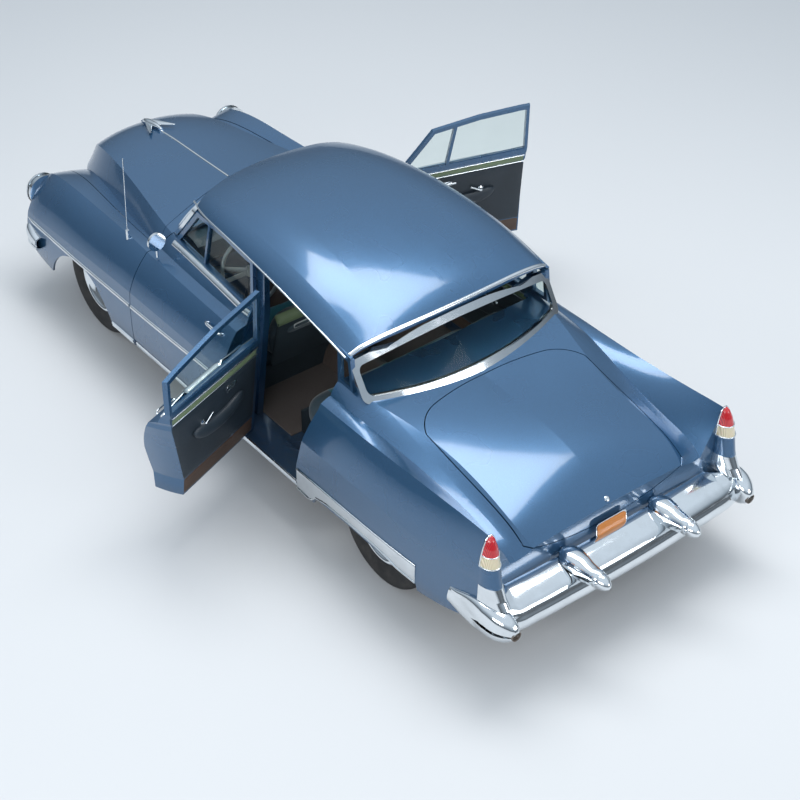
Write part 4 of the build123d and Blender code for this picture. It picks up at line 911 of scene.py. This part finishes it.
rail = carried(smooth_line(ROOF_EDGE, 90) + (0, -0.003, -0.004), half_round(0.012, 0.009, 7), (0, 1, 0))
both_sides("drip_rail", rail, trim_chrome, slot="bright_chrome", caps=True)
y = np.linspace(-0.735, 0.735, 80)
x = -0.994 + 0.038 * (y / 0.78) ** 2
path, up = on_top(x, y)
add_grid("roof_rear_strip", carried(path - SUNK * up, half_round(0.026, 0.008), up), trim_chrome, "body",
         "bright_chrome", caps=True)
print("handles, belt strips, drip rails and roof strip")

# %% [markdown]
# ## Hood, trunk and number plate
# A strip runs down the middle of the hood from the windscreen to a low winged ornament. The trunk lid
# has a round lock, and a blank orange plate hangs under it.

# %% Hood strip, ornament, lock and plate
x = np.linspace(1.352, 2.20, 60)
path, up = on_top(x, np.zeros(60))
add_grid("hood_strip", carried(path - SUNK * up, half_round(0.016, 0.008), up), trim_chrome, "hood_lid",
         "bright_chrome", caps=True)
stations = [(2.180, 1.100, 0.010, 0.010), (2.230, 1.104, 0.030, 0.030), (2.300, 1.098, 0.044, 0.036),
            (2.370, 1.084, 0.046, 0.038), (2.412, 1.070, 0.030, 0.028), (2.426, 1.062, 0.006, 0.008)]
add_grid("hood_ornament", along_x(stations, 50, 2.0), chrome, "hood_lid", "bright_chrome", caps=True)
u = np.linspace(0, 1, 24)[:, None]
v = np.linspace(0, 2 * np.pi, 20, endpoint=False)[None, :]
chord = 0.10 * (1 - u) ** 0.7 + 0.006
wing = np.stack([2.33 - 0.16 * u + chord * 0.5 * np.cos(v), 0.018 + 0.085 * u + 0 * v,
                 1.092 + 0.020 * u + 0.006 * (1 - 0.6 * u) * np.sin(v)], -1)
both_sides("ornament_wing", wing, chrome, "hood_lid", "bright_chrome", wrap=(False, True), caps=True)


BEHIND, LOCK_Z = -3.2, 0.775
spot, out = struck(top_tree, [(BEHIND, 0, LOCK_Z)], (1, 0, 0))
lock = [(0, -0.004), (0.017, -0.004), (0.017, 0.004), (0.013, 0.008), (0.005, 0.009), (0, 0.007)]
add_grid("trunk_lock", turned(lock, spot[0], out[0], 30), chrome, "trunk_door", "bright_chrome", wrap=(False, True))
PLATE_Z, PLATE_LEAN = 0.614, 0.12


def plate_sheet(name, half_w, half_h, x_face, mat, thick=0.002, corner=8.0):
    """A small flat sheet facing backwards: a squared oval outline, leaning forward as it rises."""
    y, z = (half * c for half, c in zip((half_w, half_h), squared_circle(64, corner)))
    rows = [(0.0, 0.0), (1.0, 0.0), (1.0, thick), (0.0, thick)]
    grid = np.stack([np.stack([x_face - t + PLATE_LEAN * k * z, k * y, PLATE_Z + k * z], -1) for k, t in rows])
    return add_grid(name, grid, mat, "body", "body_paint", wrap=(False, True), smooth=30)


def enamel(name, base, chip):
    """Baked enamel: nearly even, with fine chips."""
    f = Finish(name, Coat_Weight=0.3)
    f.into("Base Color", f.mixed(f.band(f.speckle(60, 6), 0.62, 0.72, 0.0, 0.6), base, chip))
    f.into("Roughness", f.band(f.speckle(20, 4), 0.3, 0.7, 0.30, 0.45))
    return f.mat


plate_enamel = enamel("plate_enamel", (0.62, 0.20, 0.02), (0.30, 0.12, 0.03))
plate_sheet("number_plate", 0.108, 0.056, -2.384, plate_enamel)
plate_sheet("plate_frame", 0.116, 0.064, -2.381, trim_chrome)
print("hood, trunk and plate fittings")

# %% [markdown]
# ## Rear fender guard
# A wide bright plate covers the rear fender ahead of the wheel, runs low over the arch and ends in a
# small heel behind it. It is a sheet laid on the skin between an upper and a lower line in side view,
# raised a little in its middle, with a rolled bead on both edges.

# %% Guard plate
upper_line = np.array([(-0.750, 0.461), (-1.164, 0.477), (-1.538, 0.486), (-1.866, 0.496)])
lower_line = np.array([(-0.750, 0.318), (-0.860, 0.312), (-0.905, 0.330), (-0.935, 0.365), (-1.050, 0.392),
                       (-1.249, 0.402), (-1.500, 0.402), (-1.640, 0.388), (-1.700, 0.372), (-1.866, 0.372)])
SKIN_FOOT = 0.50  # below this height the fender turns under


def on_fender(x, z):
    """Points of the rear fender; below its turned edge the skin is taken straight down."""
    path, out = on_side(x, np.maximum(z, SKIN_FOOT))
    path[:, 2] = z
    return path, out


across = 12
t = np.linspace(0, 1, across)
x = np.linspace(-0.750, -1.8655, 110)
top = np.interp(-x, -upper_line[:, 0], upper_line[:, 1])
low = np.interp(-x, -lower_line[:, 0], lower_line[:, 1])
z = low[:, None] + (top - low)[:, None] * t[None, :]
flat, out = on_fender(np.repeat(x, across), z.ravel())
lift = 0.003 + 0.004 * (1 - (2 * np.tile(t, len(x)) - 1) ** 4)
front = (flat + out * lift[:, None]).reshape(-1, across, 3)
back = (flat + out * 0.001).reshape(-1, across, 3)[:, ::-1]
guard_plate = np.concatenate([front, back], 1)
both_sides("fender_guard", guard_plate, chrome, slot="bright_chrome", wrap=(False, True), caps=True)
for name, z_line in (("guard_bead_top", top), ("guard_bead_low", low)):
    path, out = on_fender(x, z_line)
    bead = carried(path + 0.002 * out, half_round(0.013, 0.008, 7), out)
    both_sides(name, bead, trim_chrome, slot="bright_chrome", caps=True)
print("fender guards:", guard_plate.shape[0], "rows of", guard_plate.shape[1], "points")

# %% [markdown]
# ## Seats
# Each seat is two stuffed pads. A pad starts as a closed block a little smaller than its place, is
# remeshed into even squares and blown up as cloth, so that its faces crown and its sides pull in
# between the corners. How far a point may move is capped, and the result is written into the mesh.

# %% Stuffed pads
def pad_block(outline, half_width, inset, rows=64):
    """An outline (x, z) carried across the car: (1 - |v|^14)^(1/3) of its size at v = y / half_width."""
    o = smooth_line(list(outline) + [outline[0]], 72)[:-1]
    middle = o.mean(0)
    reach = np.linalg.norm(o - middle, axis=1, keepdims=True)
    o = middle + (o - middle) * (1 - inset / reach)
    v = np.linspace(-1, 1, rows)
    size = np.clip(1 - abs(v) ** 14, 0.02, 1) ** (1 / 3)
    ring = middle + (o - middle)[None] * size[:, None, None]
    y = np.repeat(((half_width - inset) * v)[:, None], len(o), 1)
    return np.stack([ring[..., 0], y, ring[..., 1]], -1)


def inflate(piece, cap, frames=20):
    """Blows a closed piece up as cloth and keeps at most cap metres of every point's movement."""
    remesh = piece.modifiers.new("even", "REMESH")
    remesh.mode, remesh.voxel_size = "VOXEL", 0.014
    bpy.context.view_layer.update()
    even = bpy.data.meshes.new_from_object(piece.evaluated_get(bpy.context.evaluated_depsgraph_get()))
    piece.modifiers.clear()
    piece.data = even
    start = np.zeros(len(even.vertices) * 3)
    even.vertices.foreach_get("co", start)
    cloth = piece.modifiers.new("stuffing", "CLOTH")
    cloth.settings.quality = 5
    cloth.settings.use_pressure = True
    cloth.settings.uniform_pressure_force = 4.0
    cloth.settings.effector_weights.gravity = 0.0
    for frame_number in range(1, frames + 1):
        bpy.context.scene.frame_set(frame_number)
    blown = bpy.data.meshes.new_from_object(piece.evaluated_get(bpy.context.evaluated_depsgraph_get()))
    end = np.zeros(len(blown.vertices) * 3)
    blown.vertices.foreach_get("co", end)
    piece.modifiers.clear()
    move = (end - start).reshape(-1, 3)
    far = np.linalg.norm(move, axis=1, keepdims=True)
    move *= np.minimum(1, cap / np.maximum(far, 1e-9))
    even.vertices.foreach_set("co", (start.reshape(-1, 3) + move).ravel())
    even.polygons.foreach_set("use_smooth", np.ones(len(even.polygons), bool))
    even.update()
    bpy.context.scene.frame_set(1)
    soft = piece.modifiers.new("soft", "SUBSURF")
    soft.levels = soft.render_levels = 1
    return piece


INSERT_POWER = 8.0  # the higher, the squarer the insert's corners


def panelled(name, insert, low, high):
    """Seat cloth with an insert of another colour where |x|^p + |y|^p + |z|^p < 1 in the box low to high."""
    f = Finish(name, Sheen_Weight=0.35, Sheen_Roughness=0.4, Roughness=0.85)
    split = f.node("SeparateXYZ", None, Vector=f.coords).outputs
    share = None
    for axis, a, b in zip("XYZ", low, high):
        half, middle = (b - a) / 2, (a + b) / 2
        ratio = f.math("DIVIDE", f.math("SUBTRACT", split[axis], middle), half)
        part = f.math("POWER", f.math("ABSOLUTE", ratio), INSERT_POWER)
        share = part if share is None else f.math("ADD", share, part)
    inside = f.band(share, 0.97, 1.03, 1.0, 0.0)
    ridges = [f.node("TexWave", {"bands_direction": axis}, Vector=f.coords, Scale=60.0,
                     Distortion=0.6).outputs["Fac"] for axis in "XY"]
    weave = f.math("MULTIPLY", *ridges)
    plain = f.mixed(f.band(f.speckle(5, 3), 0.3, 0.7), (0.030, 0.052, 0.066), (0.042, 0.068, 0.084))
    rich = f.mixed(weave, insert, tuple(c * 0.6 for c in insert))
    f.into("Base Color", f.mixed(inside, plain, rich))
    f.relief(weave, 0.5, 0.0008)
    return f.mat


teal = (0.006, 0.13, 0.17)
cushion_cloth = panelled("cushion_cloth", teal, (-0.70, -0.50, 0.50), (-0.36, 0.50, 0.70))
back_cloth = panelled("back_cloth", teal, (-0.90, -0.50, 0.60), (-0.60, 0.50, 0.95))
front_cloth = panelled("front_cloth", teal, (0.20, -0.50, 0.50), (0.54, 0.50, 0.70))
PADS = [
    ("front_cushion", [(0.135, 0.400), (0.540, 0.385), (0.632, 0.430), (0.625, 0.545), (0.580, 0.592),
                       (0.350, 0.585), (0.150, 0.560)], 0.636, front_cloth, "front_seat"),
    ("front_squab", [(0.066, 0.572), (0.180, 0.572), (0.115, 0.790), (0.040, 0.975), (0.005, 1.000),
                     (-0.034, 0.994), (-0.044, 0.960), (0.010, 0.770)], 0.636, front_cloth, None),
    ("rear_cushion", [(-0.755, 0.400), (-0.400, 0.360), (-0.318, 0.430), (-0.318, 0.560), (-0.360, 0.604),
                      (-0.520, 0.598), (-0.700, 0.566)], 0.676, cushion_cloth, "rear_seat"),
    ("rear_squab", [(-0.780, 0.580), (-0.672, 0.582), (-0.735, 0.800), (-0.795, 0.985), (-0.845, 1.012),
                    (-0.862, 0.990), (-0.790, 0.700)], 0.676, back_cloth, None),
]
PAD_INSET, MOST_SWELL = 0.018, 0.024
for name, outline, half_width, mat, node in PADS:
    made = add_grid(name, pad_block(outline, half_width, PAD_INSET), mat, "body", "seat_cloth",
                    wrap=(False, True), caps=True, smooth=60)
    inflate(made, MOST_SWELL)
    if node:
        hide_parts(node)
riser = grained("seat_riser", (0.030, 0.045, 0.056), 0.5)


FLOOR_Z, TUNNEL_Z, TUNNEL_RADIUS, SKIRT_TOP, SKIRT_THICK = 0.332, 0.352, 0.138, 0.50, 0.02


def skirt(name, x, half_width):
    """A board from the floor up under a cushion: over the tunnel its foot is TUNNEL_Z + sqrt(r^2 - y^2)."""
    y = np.linspace(-half_width, half_width, 80)
    hump = np.sqrt(np.clip(TUNNEL_RADIUS ** 2 - y ** 2, 0, None)) + TUNNEL_Z
    low = np.maximum(FLOOR_Z, np.where(abs(y) < TUNNEL_RADIUS, hump, 0))
    rows = [np.stack([np.full(80, x - back), y, low + (SKIRT_TOP - low) * s], -1)
            for back, s in ((0.0, 0.0), (0.0, 1.0), (SKIRT_THICK, 1.0), (SKIRT_THICK, 0.0))]
    return add_grid(name, np.stack(rows), riser, "body", "seat_cloth", wrap=(True, False), caps=True, smooth=30)


skirt("front_seat_skirt", 0.590, 0.62)
skirt("rear_seat_skirt", -0.350, 0.66)
skirt("front_seat_heel", 0.160, 0.62)


def squab_rear(s):
    """The rear face of the front seat's back at share s of its height: x and z."""
    return np.interp(s, [0, 1], [0.064, -0.036]), np.interp(s, [0, 1], [0.580, 0.950])


def squab_wide(name, outline, mat, smooth):
    """An outline (x, z) drawn straight across the back of the front seat."""
    y = np.linspace(-0.60, 0.60, 60)
    rows = [np.stack([np.full(60, x), y, np.full(60, z)], -1) for x, z in outline]
    return add_grid(name, np.stack(rows), mat, "body", "seat_cloth", wrap=(True, False), caps=True, smooth=smooth)


shell = [(0.0, 0.010), (0.0, 0.028), (0.5, 0.030), (0.98, 0.022), (0.98, 0.010)]  # share of height, distance off it
squab_wide("squab_shell", [(squab_rear(s)[0] - off, squab_rear(s)[1]) for s, off in shell], riser, 30)
band = [(-0.054, 0.928), (-0.064, 0.945), (-0.062, 0.985), (-0.036, 1.008), (-0.020, 0.99)]
squab_wide("squab_band", smooth_line(band, 10), pale_board, 60)
satin_alloy = cast("satin_alloy", (0.62, 0.66, 0.66), 0.35, 0.2, 120.0, 0.0002, (0.40, 0.42, 0.42))
ASH_OFF, ASH_LEAN = 0.029, -0.27
c, d = squared_circle(80, 2 / 0.3)
x, z = squab_rear(0.80 + 0.045 * d)
for side, middle in (("left", 0.36), ("right", -0.36)):
    path = np.stack([x - ASH_OFF, 0.115 * c + middle, z], -1)
    path = np.concatenate([path, path[:2]])
    add_grid("ash_frame_" + side, carried(path, ring_of(0.011, 0.007, 8), (-1, 0, ASH_LEAN)), satin_alloy, "body",
             "bright_chrome", caps=True)
print("seats:", len(PADS), "pads")

# %% [markdown]
# ## Carpet and headlining
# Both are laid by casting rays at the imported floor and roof, so they follow the tunnel and the roof's
# crown, and stand a few millimetres off them.

# %% Linings
floor_tree = tree_of(("floor_pan", False))
roof_tree = tree_of(("roof", False))


def lining(tree, x, y, start, way, lift, narrow_at=((0, 1), (1, 1))):
    """Where rays along z meet a panel over the grid x by y * share(x), moved off it by lift."""
    gx, gy = np.meshgrid(x, y, indexing="ij")
    gy = gy * np.interp(gx, *narrow_at)
    hits = [tree.ray_cast((float(a), float(b), start), (0, 0, way)) for a, b in zip(gx.ravel(), gy.ravel())]
    z = np.array([h[0][2] if h[0] is not None else np.nan for h in hits]).reshape(gx.shape)
    z = np.where(np.isnan(z), np.nanmedian(z), z) - way * lift
    return np.stack([gx, gy, z], -1)


def two_sided(grid, thick):
    """A sheet given a thickness: its own grid and a copy below it."""
    return np.concatenate([grid, (grid - (0, 0, thick))[:, ::-1]], 1)


ABOVE_TUNNEL, BELOW_ROOF = 0.60, 1.26  # where the rays start, inside the cabin
UP, DOWN = 1, -1
for name, x_from, x_to in (("rear_carpet", -0.345, 0.150), ("front_carpet", 0.595, 0.965)):
    x, y = np.linspace(x_from, x_to, 30), np.linspace(-0.735, 0.735, 110)
    flat = lining(floor_tree, x, y, ABOVE_TUNNEL, DOWN, 0.009)
    add_grid(name, two_sided(flat, 0.006), brown_carpet, "body", "seat_cloth", wrap=(False, True), caps=True)
pale_cloth = woven("pale_cloth", (0.16, 0.17, 0.15), (0.22, 0.23, 0.20), 500)
ROOF_NARROWS = ((-0.90, 0.0, 0.40, 0.66), (1.0, 1.0, 0.94, 0.80))
x, y = np.linspace(-0.90, 0.66, 50), np.linspace(-0.60, 0.60, 40)
flat = lining(roof_tree, x, y, BELOW_ROOF, UP, 0.010, ROOF_NARROWS)
add_grid("headlining", two_sided(flat, 0.004), pale_cloth, "body", "seat_cloth", wrap=(False, True), caps=True)
print("carpets and headlining")

# %% [markdown]
# ## Boards beside the trunk floor
# Beside the trunk floor, behind and ahead of the wheel housings, a coated board closes the well down
# to the ground. It is a flat grid from the floor's edge out to 30 mm inside the fender's skin.

# %% Trunk boards
mat_board = grained("mat_board", (0.035, 0.037, 0.040), 0.6)
BOARD_Z, BOARD_FROM_Y, SKIN_GAP = 0.601, 0.603, 0.030
t = np.linspace(0, 1, 12)
for name, x_from, x_to in (("trunk_board_rear", -2.300, -1.858), ("trunk_board_front", -0.984, -0.800)):
    x = np.linspace(x_from, x_to, 24)
    skin, _ = on_side(x, np.full(24, 0.600))
    y = BOARD_FROM_Y + (skin[:, 1:2] - SKIN_GAP - BOARD_FROM_Y) * t
    flat = np.stack([np.repeat(x[:, None], 12, 1), y, np.full(y.shape, BOARD_Z)], -1)
    both_sides(name, two_sided(flat, 0.008), mat_board, slot="chassis_black", wrap=(False, True), caps=True)
print("trunk boards")

# %% [markdown]
# ## Headlamp glass
# Each lamp is a bright bezel round a domed glass. The glass is turned from a shallow arc and pressed
# with upright flutes, height = depth * cos(k * y), which fade out towards its rim.

# %% Lamp glasses
lamp_glass = clear("lamp_glass", (0.80, 0.84, 0.86), 0.08, 0.35)
LAMP_Y, LAMP_HIGH, GLASS_RADIUS = 0.782, 0.742, 0.092
FLUTE_DEPTH, FLUTE_PITCH = 0.0008, 0.010
r = np.linspace(0.0, GLASS_RADIUS, 30)[:, None]
a = np.linspace(0, 2 * np.pi, 96, endpoint=False)[None, :]
y, z = r * np.cos(a), r * np.sin(a)
fade = np.clip((GLASS_RADIUS - r) / 0.010, 0, 1) * np.clip(r / 0.004, 0, 1)
flutes = FLUTE_DEPTH * np.cos(y * 2 * np.pi / FLUTE_PITCH) * fade
dome = 2.5795 + 0.022 * (1 - (r / 0.094) ** 2) + flutes
front = np.stack([dome, LAMP_Y + y, LAMP_HIGH + z], -1)
both_sides("lamp_glass", np.concatenate([front, front[::-1] - (0.004, 0, 0)]), lamp_glass, slot="lamp_glass",
           wrap=(True, True))
bezel = [(0.098, 2.5690), (0.1165, 2.5560), (0.1172, 2.5500), (0.1185, 2.5600), (0.112, 2.5740), (0.1000, 2.5850),
         (0.0915, 2.5870), (0.0905, 2.5800)]
both_sides("lamp_bezel", turned(bezel, (0, LAMP_Y, LAMP_HIGH), (1, 0, 0), 72), trim_chrome, slot="bright_chrome",
           wrap=(True, True))
print("headlamp glasses and bezels")

# %% [markdown]
# ## Floor pan as seen
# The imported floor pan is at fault: it carries two stray offcuts of its wheel housings below the ground,
# which no real car has. What shows is a skin over the pan alone: its own triangles, without those of the
# offcuts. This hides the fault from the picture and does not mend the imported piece.

# %% Floor skin
SKIN_FROM = 0.05  # above the offcuts, which end at the ground, and well below the pan
co, tri = mesh_arrays("floor_pan")
kept = [f for f in tri if co[list(f), 2].min() > SKIN_FROM]
used = np.unique(np.concatenate([np.array(f) for f in kept]))
place_of = np.full(len(co), -1)
place_of[used] = np.arange(len(used))
faces = place_of[np.array(kept)].tolist()
floor_skin = add_piece("floor_skin", co[used], faces, inner_paint, "body", 30)
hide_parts("floor_pan")
print("floor skin:", len(tri) - len(kept), "faces of the offcuts left out")
